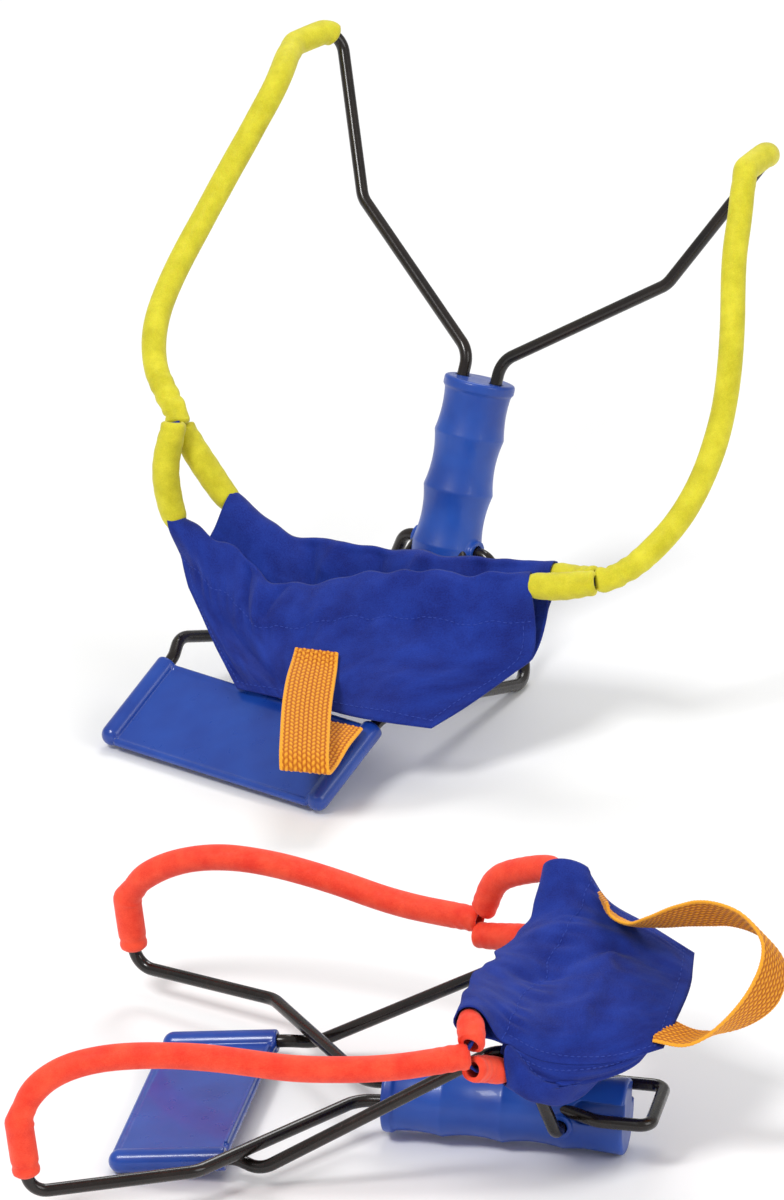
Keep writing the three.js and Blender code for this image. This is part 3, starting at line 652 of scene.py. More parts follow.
# The soft pieces, in each launcher's own frame, left to right and from the top down. A
# band's row is its share of the way from the tip to the joint and its swing from there. The
# rear panel's rows after its first lie between the front panel's, whose ends and foot close it.
slings = {
    "yellow": {
        "left": {
            "joint": (-102, -114, -44),
            "band": [(0.09, 9, -19, 0), (0.459, -12.5, -12, 0), (0.704, -25.5, -7, 0),
                     (0.829, -21.5, -10, 0), (0.938, -11.5, -5, 0)],
            "arrival": (8, -1, -16), "parting": (0.25, -1, 0.1),
            "front": [(-102, -117, -68)],
            "rear": [(-92, -98, -62)],
        },
        "right": {
            "joint": (140, -63, -70),
            "band": [(0.09, 9.5, -7.5, 0), (0.186, 12.5, -6, 0), (0.392, 23, 3, 0),
                     (0.557, 25, 14.5, 0), (0.722, 23.5, 19.5, 0), (0.86, 18, 16, 0),
                     (0.971, 6, 9.5, 0)],
            "arrival": (-14, -8, -5), "parting": (0.4, -1, -0.1),
            "front": [(121, -76, -75)],
            "rear": [(121, -56, -72)],
        },
        "frontPanel": [
            [(-98, -106, -93), (-60, -109, -102), (-22, -110, -112), (14, -105, -100),
             (51, -97, -88), (78, -88, -82), (104, -76, -75)],
            [(-73.9, -113.6, -127.6), (-48.9, -117.6, -132.6), (-18.9, -119.6, -132.6),
             (16.1, -117.6, -127.6), (55.1, -111.6, -122.6), (89.1, -98.6, -119.6),
             (113.1, -73.6, -118.6)],
            [(-37.1, -128.7, -152.7), (-22.1, -131.7, -152.7), (-2.1, -132.7, -150.7),
             (21.9, -132.7, -148.7), (48.9, -131.7, -146.7), (75.9, -126.7, -144.7),
             (100.9, -105.7, -145.7)],
            [(-15.4, -138.8, -164.9), (-1.4, -138.8, -163.9), (14.6, -138.8, -162.9),
             (34.6, -138.8, -161.9), (56.6, -139.3, -160.9), (77.6, -137.8, -158.9),
             (94.6, -122.8, -157.9)],
        ],
        "rearPanel": [
            [(-77, -84, -78), (-56, -82, -86), (-35, -79, -92), (14, -74, -85), (56, -71, -79),
             (82, -61, -74), (104, -54, -70)],
            [(-50.9, -105.6, -129.6), (-20.9, -95.6, -129.6), (16.1, -87.6, -125.6),
             (55.1, -85.6, -118.6), (89.1, -78.6, -117.6)],
            [(-23.1, -123.7, -149.7), (-2.1, -121.7, -146.7), (21.9, -120.7, -143.7),
             (48.9, -119.7, -140.7), (75.9, -116.7, -138.7)],
        ],
        "loop": [(20.2, -127.2, -136.5), (24.9, -133.8, -142.5), (33.0, -146.0, -148.7),
                 (46.0, -164.0, -158.2), (62.2, -184.1, -169.9), (71.6, -194.9, -178.1),
                 (73.8, -195.4, -183.5), (69.8, -184.4, -181.5), (61.8, -164.4, -172.5),
                 (55.8, -144.4, -165.6)],
        "loopAcross": [(1, 0.05, 0.08), (0.86, 0.5, 0.1), (0.79, 0.6, 0.09), (0.79, 0.6, 0.09),
                       (0.8, 0.58, 0.1), (1, 0, 0.05)],
    },
    "red": {
        "left": {
            "joint": (-80, -62, -49),
            "band": [(0.07, -1, -13, 11), (0.17, -3, -24, 15), (0.29, -5, -27, 13),
                     (0.46, -7, -22, 10), (0.67, -8, -9, 5), (0.88, -4, -1, 2)],
            "arrival": (8, -3, -26), "parting": (0.1, -1, 0.12),
            "front": [(-71.9, -74.3, -50)],
            "rear": [(-71, -49.5, -57)],
        },
        "right": {
            "joint": (90, -53, -24),
            "band": [(0.06, 0, -10, 6), (0.16, 1, -19, 10), (0.31, 2, -25, 8), (0.52, 4, -19, 4),
                     (0.79, 6, -3, 0)],
            "arrival": (-14, -2, -37), "parting": (0.3, -1, 0),
            "front": [(88, -75, -32), (84, -82, -42)],
            "rear": [(80, -47, -42)],
        },
        "frontPanel": [
            [(-66, -79, -45), (-45, -80, -45), (-22, -79, -46), (0, -76, -49), (25, -74, -54),
             (48, -78, -60), (70, -92, -62)],
            [(-63, -63, -68), (-48, -69, -70), (-24, -70, -73), (0, -71, -76), (28, -77, -80),
             (50, -85, -82), (69, -95, -83)],
            [(-53, -51, -84), (-42, -60, -88), (-20, -65, -92), (4, -70, -94), (28, -76, -95),
             (48, -81, -96), (61, -83, -95)],
            [(-40, -46, -110), (-30, -54, -111), (-12, -61, -113), (10, -67, -113),
             (30, -71, -112), (46, -74, -113), (57, -74, -116)],
            [(-18, -47, -136), (-8, -50, -137), (4, -54, -139), (17, -57, -140.5),
             (29, -60, -141), (40, -63, -140), (50, -65, -139)],
        ],
        "rearPanel": [
            [(-63, -42, -67), (-54, -29, -84), (-32, -24, -99), (4, -23, -104), (35, -27, -98),
             (56, -38, -80), (69, -50, -55)],
            [(-59, -43, -80), (-36, -33, -101), (4, -31, -108), (38, -37, -100), (61, -62, -80)],
            [(-49, -38, -93), (-30, -37, -112), (6, -39, -117), (36, -44, -110), (56, -62, -95)],
            [(-34, -43, -117), (-20, -43, -124), (8, -46, -127), (32, -52, -124),
             (47, -62, -119)],
        ],
        "loop": [(44, -93, -95), (42.5, -86, -98.5), (39, -82.5, -109), (34, -87, -121.5),
                 (29.5, -94, -137), (25, -99, -155), (18, -97, -172), (10, -87, -183),
                 (2, -72, -181), (-6, -58, -168), (-12, -50.5, -149), (-7, -52, -130)],
        "loopAcross": [(0.9, 0.2, 0.3), (0.56, 0.73, -0.38), (0.56, 0.73, -0.38),
                       (0.95, -0.15, 0.15)],
    },
}


# The panel's rows in full, from its top edge to its foot
def panelRows(who, word):
    front, rear = slings[who]["frontPanel"], slings[who]["rearPanel"]
    if word == "front":
        return front
    between = [[low[0], *row, low[-1]] for low, row in zip(front[1:-1], rear[1:])]
    return [rear[0], *between, front[-1]]


def bandPath(who, side, hand):
    arm, own = forkRod[who], tubing[who]
    tip, corner, shoulder = (mirrored(arm[k], side) for k in ("tip", "corner", "shoulder"))
    joint, steps = np.array(hand["joint"], float), 10
    bend = bentRun([(shoulder, 0), (corner, forkRod["tipBend"]), (tip, 0)], steps)
    lead = bend[1 + round(steps * own["bareShare"]):]
    past = tip + unit(tip - corner) * tubing["tipLead"]
    free = [tip + (joint - tip) * share + np.array(swing) for share, *swing in hand["band"]]
    last = joint - unit(hand["arrival"]) * tubing["arrival"]
    run = centripetal([tip, past, *free, last, joint], 240)
    run = run[np.linalg.norm(run - tip, axis=1) > tubing["tipClear"]]
    end = joint + unit(hand["arrival"]) * tubing["onward"]
    path = evenly(np.vstack([lead, past, run, end]), tubing["spacing"])
    overRod = lengthsAlong(lead)[-1]
    return eased(path, tubing["smoothing"], overRod / tubing["spacing"]), overRod


# The path averaged with its neighbours, which takes its kinks out. The window opens from the
# path's ends, and from the point given as its first.
def eased(path, window, first=0):
    reach = window // 2
    out = path.copy()
    for i in range(1, len(path) - 1):
        near = min(reach, i, len(path) - 1 - i, max(1, int(i - first) + 4))
        out[i] = path[i - near:i + near + 1].mean(axis=0)
    return out


# The tubing's uneven skin: soft lumps all along, and rings of puckers of a given depth
def skinAround(path, seed, pitch, puckerDepth):
    table = np.zeros((len(path), tubing["sides"]))
    for i, s in enumerate(lengthsAlong(path)):
        for k, a in enumerate(anglesRound(tubing["sides"])):
            x, y = math.cos(a), math.sin(a)
            lean = noise.noise(Vector((x * 1.3, y * 1.3, seed * 7.1 + s * 0.02)))
            ring = math.sin((s + lean * tubing["ringLean"]) * fullTurn / pitch)
            soft = noise.noise(Vector((x * 0.9, y * 0.9, s / tubing["lumpPitch"] + seed)))
            pucker = puckerDepth(s) * (0.55 * ring - 0.3 + 0.35 * soft)
            table[i, k] = tubing["lump"] * soft + pucker
    return tubing["diameter"] / 2 + table


# Rounds the tube's outer edge over the first and last millimetres of it
def roundedEnds(path, table, reaches):
    along = lengthsAlong(path)
    for i, s in enumerate(along):
        for reach, distance in zip(reaches, (s, along[-1] - s)):
            if distance < reach:
                table[i] -= tubing["wall"] * (1 - math.sqrt(1 - (1 - distance / reach) ** 2))
    return table


# A soft hill, 1 at its middle, that falls off over its width
def hill(distance, width):
    return math.exp(-(distance / width) ** 2)


def bandMesh(who, word, side):
    path, overRod = bandPath(who, side, slings[who][word])
    t, own, along, seed = tubing, tubing[who], lengthsAlong(path), side + 3
    near = lambda s: max(0, 1 - (along[-1] - s) / own["puckerReach"]) ** 0.8
    table = skinAround(path, seed, own["pitch"], lambda s: own["pucker"] * near(s))
    for i, s in enumerate(along):
        past = s - overRod
        for k, a in enumerate(anglesRound(t["sides"])):
            uneven = 0.75 + 0.5 * noise.noise(Vector((math.cos(a), math.sin(a), seed * 3.3)))
            swell = own["overRod"] / (1 + math.exp((past - t["rodEdgeAt"]) / t["rodEdgeWidth"]))
            swell += own["ridge"] * hill(past - t["humpAt"], t["humpWidth"]) * uneven
            swell -= own["neck"] * hill(past - t["neckAt"], t["neckWidth"])
            swell -= own["crumple"] * uneven * hill(s - t["crumpleAt"], t["crumpleWidth"])
            table[i, k] += swell
    table = roundedEnds(path, table, t["bandRounds"])
    return tubeMesh(who, f"{who}_band_{word}", path, table)


def tubeMesh(who, node, path, table):
    verts, faces = sweepTube(path, table, tubing["sides"], tubing["bore"] / 2)
    return addPiece(who, node, f"{who}_tubing", who, verts, faces)


# From beside the joint to the hem's mouth, and a little way into the channel
def sleevePath(who, word, panel, way):
    hand, rows = slings[who][word], panelRows(who, panel)
    edge, inside = (0, 1) if word == "left" else (-1, -2)
    joint, ahead = np.array(hand["joint"], float), unit(hand["arrival"])
    apart = np.array(hand["parting"], float)
    apart = unit(apart - (apart @ ahead) * ahead) * way
    start = joint + ahead * tubing["sleeveLead"] + apart * tubing["sleeveParting"]
    top = np.array(rows[0][edge], float)
    down, inward = unit(np.array(rows[1][edge]) - top), unit(np.array(rows[0][inside]) - top)
    mouth = top + down * cloth["mouth"] * tubing["mouthDrop"]
    mids = [np.array(m, float) + down * cloth["mouth"] * tubing["midDrop"] for m in hand[panel]]
    run = centripetal([start, *mids, mouth, mouth + inward * tubing["sleeveHem"]], 80)
    first, lean = unit(run[1] - run[0]), tubing["backLean"]
    back = start - (first * (1 - lean) + ahead * lean) * tubing["sleeveBack"]
    path = evenly(np.vstack([back, run]), tubing["sleeveSpacing"])
    for _ in range(2):
        path = eased(path, tubing["sleeveSmoothing"])
    return path, apart, ahead


def sleeveMesh(who, word, panel, way, seed):
    path = sleevePath(who, word, panel, way)[0]
    own, along, reach = tubing[who], lengthsAlong(path), tubing["intakeReach"]
    total = along[-1]
    depth = lambda s: own["sleevePucker"] * (
        max(0, 1 - s / tubing["sleeveReach"]) + 0.35 * math.sin(math.pi * min(s / total, 1)))
    table = skinAround(path, seed, own["pitch"], depth)
    bulge = own["sleeveSwell"] * np.sin(np.pi * along / total)
    hidden = np.clip((along - total + reach) / reach, 0, 1) ** 1.5 * tubing["intake"]
    table = roundedEnds(path, table + (bulge - hidden)[:, None], tubing["sleeveRounds"])
    return tubeMesh(who, f"{who}_sleeve_{word}_{panel}", path, table)


# The pouch's cloth. A billow is its height, the three shares of u and v that place it in the
# noise, and its shift there; the gathers lie along the channel's seam.
cloth = {
    "columns": 120, "topRows": 22, "lowRows": 44, "thickness": 0.8, "hemDepth": 27.0,
    "hemRows": 26, "hemTurn": 2.5, "hemFull": 1.3, "mouth": 7.4, "mouthReach": 30.0,
    "layerGap": 0.95, "layerEase": 2, "edgeWave": 3.4, "waveScale": 0.075, "seamInset": 6.0,
    "seamBlend": 12, "seamStep": {"yellow": 0.45, "red": 0.08}, "bagginess": 1.35,
    "billows": ((1.9, 0.022, 0, 0.035, 0), (1.2, 0.05, 0.03, 0.02, 5.3),
                (0.3, 0.16, 0, 0.11, 11.7)),
    "gatherHeight": 0.4, "gatherPitch": 9, "gatherDrift": 0.04, "gatherWidth": 7,
    "easeColumns": 9, "easeRows": 7, "easeTop": 4, "seamDrop": 2, "seamDip": 0.35,
    "seamDipWidth": 1.3,
}
# Creases that the photo shows, each from u and v over du and dv, with its height and width,
# in millimetres from the panel's upper left corner
creases = {
    "yellow": {
        "front": [(58, 3, 5, 16, -2.0, 3.2), (70, 1, 4, 20, 2.2, 4), (84, 2, -6, 16, -1.9, 3.5),
                  (150, 32, 32, 20, 1.0, 6), (38, 42, 40, 12, -1.0, 6),
                  (112, 20, 12, 22, 1.4, 5), (186, 10, -8, 34, -0.9, 4)],
        "rear": [(50, 1, 4, 26, 2.8, 3.6), (66, 3, -4, 14, -2.2, 3.5), (92, 2, 5, 18, 2.2, 4),
                 (120, 3, -5, 14, -2.0, 3.5), (150, 3, 4, 15, 1.8, 4)],
    },
    "red": {
        "front": [(24, 58, 60, -6, 2.4, 4.5), (60, 18, 34, 34, -1.9, 6),
                  (96, 12, 10, 40, 1.6, 6), (30, 20, 22, 26, -0.9, 5)],
        "rear": [(30, 10, 10, 40, 1.2, 6), (80, 8, -12, 40, -1.2, 6)],
    },
}


# The panel's smooth form, with its rows closer together near the hem. Both panels' sides
# follow one line below the hem, where they are sewn together, with the rear one a step back.
def panelGrid(rows, seamStep):
    wide, shaped = cloth["columns"], []
    for r, row in enumerate(rows):
        row = np.array(row, float)
        if r == len(rows) - 1:
            row[:, 1] += seamStep
        elif r:
            row[[0, -1], 1] += seamStep
        shaped.append(centripetal(row, wide))
    columns, step = [], 30
    lines = [centripetal([row[c] for row in shaped], step * (len(rows) - 1) + 1)
             for c in range(wide)]
    for edge in (0, wide - 1):
        seam = centripetal([row[edge] for row in shaped[1:]], step * (len(rows) - 2) + 1)
        shift = np.vstack([np.zeros((step, 3)), seam - lines[edge][step:]])
        for near in range(cloth["seamBlend"]):
            c = abs(edge - near)
            lines[c] = lines[c] + shift * (1 - near / cloth["seamBlend"]) ** 2
    for line in lines:
        along = lengthsAlong(line)
        top = np.linspace(0, 2 * cloth["mouth"], cloth["topRows"])
        low = np.linspace(2 * cloth["mouth"], along[-1], cloth["lowRows"] + 1)[1:]
        wanted = np.concatenate([top, low])
        columns.append(np.column_stack([np.interp(wanted, along, line[:, k]) for k in range(3)]))
    return np.array(columns).transpose(1, 0, 2)


def gridNormals(grid):
    normal = np.cross(np.gradient(grid, axis=1), np.gradient(grid, axis=0))
    return normal / np.linalg.norm(normal, axis=2)[:, :, None]


# How far the cloth stands off its smooth form at u and v millimetres
def standOff(u, v, seed, lines):
    lift = 0
    for height, alongU, skew, alongV, shift in cloth["billows"]:
        spot = (u * alongU + v * skew, v * alongV, seed + shift)
        lift += height * noise.noise(Vector(spot))
    drift = noise.noise(Vector((u * cloth["gatherDrift"], seed, 2.2)))
    lift += (cloth["gatherHeight"] * math.sin(fullTurn * (u / cloth["gatherPitch"] + drift))
             * hill(v - cloth["hemDepth"], cloth["gatherWidth"]))
    for cu, cv, du, dv, height, width in lines:
        share = min(max(((u - cu) * du + (v - cv) * dv) / (du * du + dv * dv), 0), 1)
        away = (u - cu - du * share) ** 2 + (v - cv - dv * share) ** 2
        lift += height * math.exp(-away / width ** 2)
    return lift * cloth["bagginess"]


# Half the hem channel's fullness: round at its mouths, where the sleeves go in
def channelFull(u, v, total):
    hem, radius = cloth["hemDepth"], cloth["mouth"]
    if v >= hem:
        return 0.0
    share = max(0, 1 - min(u, total - u) / cloth["mouthReach"])
    if v < radius:
        tube = radius * math.sqrt(max(0, 1 - ((radius - v) / radius) ** 2))
    else:
        tube = radius * (0.5 + 0.5 * math.cos(math.pi * (v - radius) / (hem - radius)))
    return cloth["hemFull"] * math.sin(math.pi * v / hem) * (1 - share) + tube * share


# The panel's columns drawn out or in at their top, which waves its top edge
def waved(grid, seed):
    tall, wide = grid.shape[:2]
    edge, fade = lengthsAlong(grid[0]), np.linspace(1, 0, tall)[:, None] ** 3
    for c in range(wide):
        near = min(1, min(edge[c], edge[-1] - edge[c]) / cloth["mouthReach"])
        spot = Vector((edge[c] * cloth["waveScale"], seed, 4.4))
        wave = cloth["edgeWave"] * near * noise.noise(spot)
        grid[:, c] += unit(grid[3, c] - grid[0, c]) * wave * fade
    return grid


# The outer layer's rows and the channel's turned-in ones under them, as one sheet, with the
# lines of its stitches
def panelMesh(who, word, seed, outward):
    seamStep = cloth["seamStep"][who] if word == "rear" else 0
    grid = waved(panelGrid(panelRows(who, word), seamStep), seed)
    tall, wide = grid.shape[:2]
    normal = gridNormals(grid) * outward
    depth = np.array([lengthsAlong(grid[:, c]) for c in range(wide)]).T
    across, hem = lengthsAlong(grid[0]), cloth["hemDepth"]
    lift, full = np.zeros((tall, wide)), np.zeros((tall, wide))
    for r in range(tall):
        for c in range(wide):
            u, v = across[c], depth[r, c]
            held = min(min(c, wide - 1 - c) / cloth["easeColumns"],
                       (tall - 1 - r) / cloth["easeRows"], v / cloth["easeTop"], 1)
            lift[r, c] = standOff(u, v, seed, creases[who][word]) * held
            lift[r, c] -= cloth["seamDip"] * hill(v - hem + cloth["seamDrop"],
                                                  cloth["seamDipWidth"])
            full[r, c] = channelFull(u, v, across[-1])
    outer = grid + normal * (lift + full)[:, :, None]
    inner = []
    for v in np.linspace(0, hem + cloth["hemTurn"], cloth["hemRows"] + 1)[1:][::-1]:
        row = []
        for c, u in enumerate(across):
            take = lambda table: np.interp(v, depth[:, c], table)
            point = np.array([take(grid[:, c, k]) for k in range(3)])
            out = np.array([take(normal[:, c, k]) for k in range(3)])
            layer = cloth["layerGap"] * min(1, v / cloth["layerEase"])
            row.append(point + out * (take(lift[:, c]) - channelFull(u, v, across[-1]) - layer))
        inner.append(row)
    sheet = np.vstack([np.array(inner), outer])
    down = np.array([lengthsAlong(sheet[:, c]) for c in range(wide)]).T
    cut = np.stack([np.broadcast_to(across, down.shape), -down], axis=2) * mm
    obj = addPiece(who, f"{who}_pouch_{word}_panel", "sling_nylon", "nylon",
                   sheet.reshape(-1, 3), gridFaces(len(sheet), wide, False), cut.reshape(-1, 2))
    withModifier(obj, "SOLIDIFY", thickness=cloth["thickness"] * mm, offset=0)
    flat = (float(np.mean([lengthsAlong(row)[-1] for row in sheet])) * mm,
            float(down[-1].mean()) * mm)
    return panelSeams(outer, depth, across, outward)


# Rows of stitches: below the channel and round the panel, and two across the webbing. The
# shortest and longest bead are shares of the length; the stands lift beads off the surface.
stitching = {
    "pitch": 3.1, "length": 2.3, "gauge": 0.26, "seed": 4, "stand": 0.4, "sideStart": 3,
    "loopRows": (5, 13), "loopSpacing": 0.5, "loopHalf": 11, "loopStand": 0.25,
    "shortest": 0.43, "longest": 0.52,
}


# The lines of stitches on a panel: below the channel, down its sides and along its foot
def panelSeams(outer, depth, across, outward):
    proud = cloth["thickness"] / 2 + stitching["gauge"] * stitching["stand"]
    skin = outer + gridNormals(outer) * outward * proud
    at = lambda c, v: [np.interp(v, depth[:, c], skin[:, c, k]) for k in range(3)]
    wide, inset = len(across), cloth["seamInset"]
    hem = cloth["hemDepth"] - cloth["seamDrop"]
    first = int(np.searchsorted(across, inset))
    lines = [[at(c, hem) for c in range(2, wide - 2)]]
    for c in (first, wide - 1 - first):
        down = np.linspace(hem + stitching["sideStart"], depth[-1, c] - inset, 24)
        lines.append([at(c, v) for v in down])
    lines.append([at(c, depth[-1, c] - inset) for c in range(first, wide - first)])
    return [np.array(line) for line in lines]


# Rows of stitches as a tree of nodes: each line of the mesh is walked at an even pitch, with
# one small bead laid along it at every step
def stitchTree():
    tree = bpy.data.node_groups.new("stitchRow", "GeometryNodeTree")
    sockets = {}
    for name, kind in (("Lines", "Geometry"), ("Pitch", "Float"), ("Length", "Float"),
                       ("Gauge", "Float"), ("Seed", "Int"), ("Thread", "Material")):
        sockets[name] = tree.interface.new_socket(name, in_out="INPUT",
                                                  socket_type=f"NodeSocket{kind}")
    tree.interface.new_socket("Stitches", in_out="OUTPUT", socket_type="NodeSocketGeometry")

    def node(kind, inputs=None, **settings):
        return addNode(tree, kind, inputs, **settings)

    given = node("NodeGroupInput").outputs
    curve = node("GeometryNodeMeshToCurve", {"Mesh": given["Lines"]}).outputs["Curve"]
    walk = node("GeometryNodeCurveToPoints", {"Curve": curve, "Length": given["Pitch"]},
                mode="LENGTH")
    turn = node("FunctionNodeAlignRotationToVector", {"Vector": walk.outputs["Tangent"]},
                axis="Z")
    change = node("FunctionNodeRandomValue", {
        "Seed": given["Seed"], 2: stitching["shortest"], 3: stitching["longest"]},
        data_type="FLOAT")
    half = node("ShaderNodeMath", {0: given["Length"], 1: change.outputs[1]},
                operation="MULTIPLY")
    size = node("ShaderNodeCombineXYZ", {"X": given["Gauge"], "Y": given["Gauge"],
                                         "Z": half.outputs[0]})
    bead = node("GeometryNodeMeshUVSphere", {"Segments": 6, "Rings": 5, "Radius": 1.0})
    spread = node("GeometryNodeInstanceOnPoints", {
        "Points": walk.outputs["Points"], "Instance": bead.outputs["Mesh"],
        "Rotation": turn.outputs["Rotation"], "Scale": size.outputs["Vector"]})
    real = node("GeometryNodeRealizeInstances", {"Geometry": spread.outputs["Instances"]})
    dyed = node("GeometryNodeSetMaterial", {"Geometry": real.outputs["Geometry"],
                                            "Material": given["Thread"]})
    node("NodeGroupOutput", {"Stitches": dyed.outputs["Geometry"]})
    return tree, sockets


def stitchMesh(name, who, lines, thread):
    mesh = bpy.data.meshes.new(name)
    verts, edges = [], []
    for line in lines:
        start = len(verts)
        verts += [launcherPlace(who) @ Vector(p) for p in line.tolist()]
        edges += [(k, k + 1) for k in range(start, len(verts) - 1)]
    mesh.from_pydata(verts, edges, [])
    obj = addObject(name, mesh)
    tree, sockets = stitches
    values = {"Pitch": stitching["pitch"] * mm, "Length": stitching["length"] * mm,
              "Gauge": stitching["gauge"] * mm, "Seed": stitching["seed"],
              "Thread": finishes[thread]}
    modifier = withModifier(obj, "NODES", node_group=tree)
    for key, value in values.items():
        modifier[sockets[key].identifier] = value
    baked(obj)
    obj.data.shade_smooth()
    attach(obj, "root")
    return obj


# The tape's sideways and upward directions; square 1 turns the first right across its route
def tapeFrame(ahead, across, square):
    side = np.array(across, float)
    side = unit(side - (side @ ahead) * ahead * square)
    return side, unit(np.cross(ahead, side))


# Flat tape along a route: its verts, faces, cut coordinates and the height in the weave that
# paints shade into its hollows
def ribbon(route, acrossAt, sizes, weave=None):
    width, wide, edge = sizes["width"], sizes["across"], 0.4
    along, total = tangentsOf(route), lengthsAlong(route)
    ring = [(k / wide - 0.5, 1) for k in range(wide + 1)]
    ring += [(0.5 - k / wide, -1) for k in range(wide + 1)]
    verts, cut, weaveShade = [], [], []
    for i, centre in enumerate(route):
        side, up = tapeFrame(along[i], acrossAt(total[i] / total[-1]), sizes["square"])
        for w, face in ring:
            lift, shadeMark = sizes["thickness"] / 2 * min(1, (0.5 - abs(w)) * width + edge), 1.0
            if weave:
                raised, shadeMark = weave(total[i], (w + 0.5) * width, face)
                lift += raised
            verts.append(centre + side * w * width + up * lift * face)
            cut.append((w * width * mm, total[i] * mm))
            weaveShade.append(shadeMark)
    count = 2 * (wide + 1)
    faces = gridFaces(len(route), count, True)
    last = (len(route) - 1) * count
    for k in range(wide):
        a, b = k, count - 1 - k
        faces.append((a, a + 1, b - 1, b))
        faces.append((last + a, last + b, last + b - 1, last + a + 1))
    return verts, faces, cut, weaveShade


# selvageShade sets the painted weave shade along the tape's edges, where the knots rise above it
loops = {
    "width": 25.0, "thickness": 1.7, "pitch": 3.3, "columns": 11, "relief": 0.55,
    "spacing": 0.42, "across": 64, "selvage": 1.3, "square": 0.25, "slant": 0.45,
    "knotRise": 0.35, "selvageDrop": 0.3, "selvageShade": 0.75, "valley": 0.3,
}


# Coarse webbing: columns of slanting picks, staggered from one to the next, with a height that
# paints shade into the weave's low places
def webbingWeave(s, w, face):
    border = min(w, loops["width"] - w)
    if border < loops["selvage"]:
        knot = 0.5 + 0.5 * math.cos(fullTurn * s / (loops["pitch"] * 0.5))
        rise = loops["knotRise"] * knot
        return loops["relief"] * (rise - loops["selvageDrop"]), loops["selvageShade"] + rise
    columnWidth = loops["width"] / loops["columns"]
    column = min(int(w / columnWidth), loops["columns"] - 1)
    inside = w / columnWidth - column
    crown = 1 - (2 * inside - 1) ** 2
    slant = (inside - 0.5) * loops["slant"] * face * (1 if column % 2 else -1)
    turn = s / loops["pitch"] + 0.5 * (column % 2) + slant
    pick = 0.5 + 0.5 * math.cos(fullTurn * turn)
    height = crown * (loops["valley"] + (1 - loops["valley"]) * pick)
    return loops["relief"] * (height - 0.5), height


# Reads a direction off the given ones at a share of the way along
def acrossCurve(steps):
    steps = np.array(steps, float)

    def at(share):
        place = share * (len(steps) - 1)
        low = min(int(place), len(steps) - 2)
        return steps[low] + (steps[low + 1] - steps[low]) * (place - low)
    return at


straps = {"width": 5.6, "thickness": 1.2, "across": 8, "square": 1.0, "gap": 0.75,
          "waist": 1.2, "foldDepth": 7.0, "spacing": 1.0}


# From one hem down its sleeve, through the end of the band and back up to the other hem
def strapMesh(who, word):
    joint = np.array(slings[who][word]["joint"], float)
    front, apart, ahead = sleevePath(who, word, "front", 1)
    rear = sleevePath(who, word, "rear", -1)[0]
    gap, waist = straps["gap"], straps["gap"] * straps["waist"]
    fold = joint - ahead * straps["foldDepth"]
    bend = [fold + apart * math.cos(a) * gap - ahead * math.sin(a) * gap
            for a in np.linspace(0, math.pi, 5)]
    knots = [*front[:2:-7], joint + apart * waist, *bend, joint - apart * waist, *rear[3::7]]
    route = evenly(centripetal(knots, 240), straps["spacing"])
    flat = unit(np.cross(apart, ahead))
    verts, faces, cut, _ = ribbon(route, lambda share: flat, straps)
    return addPiece(who, f"{who}_sling_strap_{word}", "sling_nylon", "nylon", verts, faces, cut)


def loopRoute(who, spacing):
    sling = slings[who]
    return evenly(centripetal(sling["loop"], 300), spacing), acrossCurve(sling["loopAcross"])


def loopMesh(who):
    route, across = loopRoute(who, loops["spacing"])
    return addPiece(who, f"{who}_pull_loop", "pull_webbing", "webbing",
                    *ribbon(route, across, loops, webbingWeave))


# Two rows of stitches across the webbing near its first end, on both of its faces
def loopSeams(who):
    route, across = loopRoute(who, stitching["loopSpacing"])
    along, half, lines = tangentsOf(route), stitching["loopHalf"], []
    for i in stitching["loopRows"]:
        side, up = tapeFrame(along[i], across(i / (len(route) - 1)), loops["square"])
        up *= loops["thickness"] / 2 + stitching["loopStand"]
        for face in (1, -1):
            lines.append(np.array([route[i] + side * w + up * face
                                   for w in np.linspace(-half, half, 12)]))
    return lines


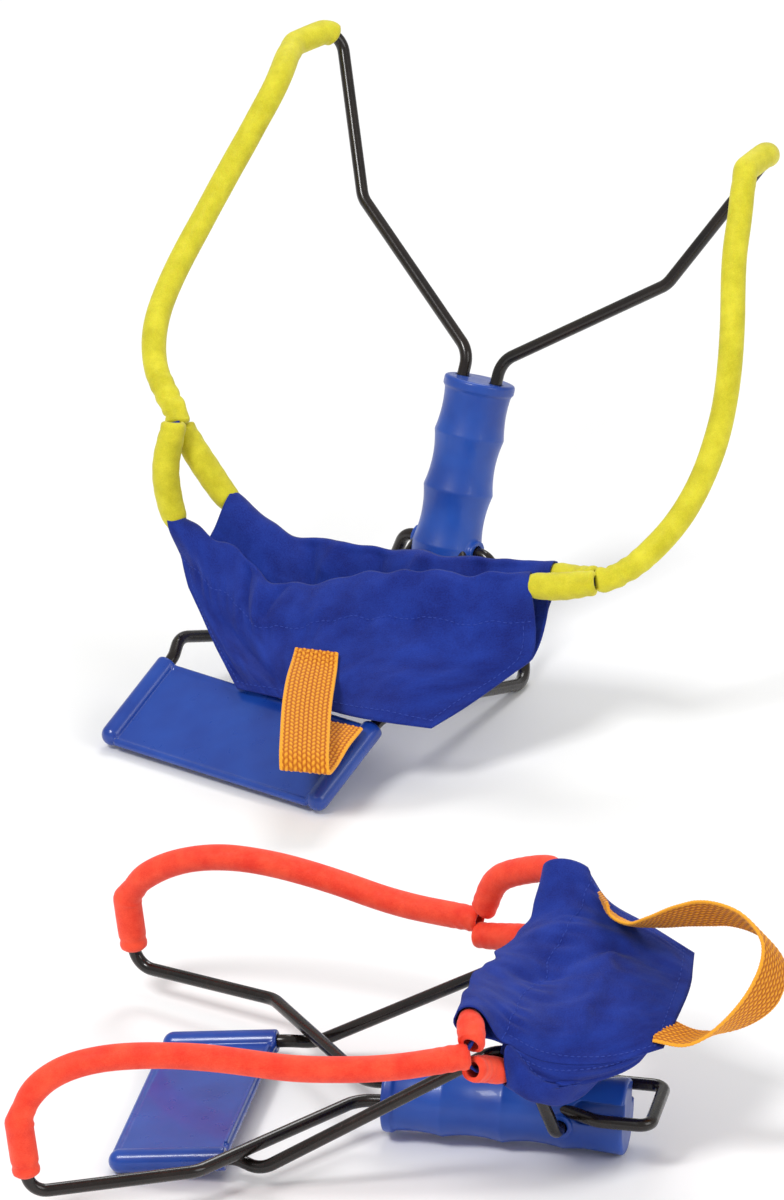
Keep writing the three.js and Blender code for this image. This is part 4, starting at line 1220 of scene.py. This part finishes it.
stitches = stitchTree()
for seed, who in enumerate(slings):
    for word, side in (("left", -1), ("right", 1)):
        bandMesh(who, word, side)
        for panel, way in (("front", 1), ("rear", -1)):
            sleeveMesh(who, word, panel, way, side * 2 + way)
        strapMesh(who, word)
    print("stage: tubing", who)
    lines = panelMesh(who, "front", 3.1 + seed, -1) + panelMesh(who, "rear", 8.7 + seed, 1)
    stitchMesh(f"{who}PouchStitches", who, lines, "thread")
    loopMesh(who)
    stitchMesh(f"{who}LoopStitches", who, loopSeams(who), "webThread")
    print("stage: cloth and webbing", who)

# Camera, floor and lamps, in metres; a lamp is its place, its size and its power
room = {
    "camera": (-0.0071, -6.2086, 2.8782), "elevation": 23.78, "lens": 412.3, "sensor": 36,
    "farthest": 60, "world": 0.5, "floor": 0.93, "floorEdge": 14.0, "floorDrop": 0.0004,
    "aimHeight": 0.1,
    "lamps": {"key": ((-1.5, -1.7, 2.8), 0.9, 62), "fill": ((2.3, -1.6, 1.7), 1.6, 24),
              "back": ((0.4, 1.9, 2.6), 1.2, 30)},
}


def addRoom():
    view = bpy.data.cameras.new("camera")
    view.lens = room["lens"]
    view.sensor_fit = "VERTICAL"
    view.sensor_width = view.sensor_height = room["sensor"]
    view.clip_end = room["farthest"]
    camera = addObject("camera", view)
    camera.location = room["camera"]
    camera.rotation_euler = (math.radians(90 - room["elevation"]), 0, 0)
    bpy.context.scene.camera = camera

    shade, edge = room["floor"], room["floorEdge"]
    ground = Finish("paleGround", Roughness=0.85, Specular_IOR_Level=0.2,
                    Base_Color=(shade, shade, shade, 1))
    corners = [(x * edge, y * edge, -room["floorDrop"])
               for x, y in ((-1, -1), (1, -1), (1, 1), (-1, 1))]
    addMesh("floor", corners, [(0, 1, 2, 3)], Matrix(), ground.material)

    world = bpy.data.worlds.new("studio")
    bpy.context.scene.world = world
    world.use_nodes = True
    background = world.node_tree.nodes["Background"].inputs
    background["Color"].default_value = (1, 1, 1, 1)
    background["Strength"].default_value = room["world"]

    for name, (place, size, power) in room["lamps"].items():
        light = bpy.data.lights.new(name, "AREA")
        light.size = size
        light.energy = power
        lamp = addObject(name, light)
        lamp.location = place
        aim = Vector((0, 0, room["aimHeight"])) - Vector(place)
        lamp.rotation_euler = aim.to_track_quat("-Z", "Y").to_euler()
    bpy.context.scene.view_settings.view_transform = "Standard"


addRoom()
print("stage: room")
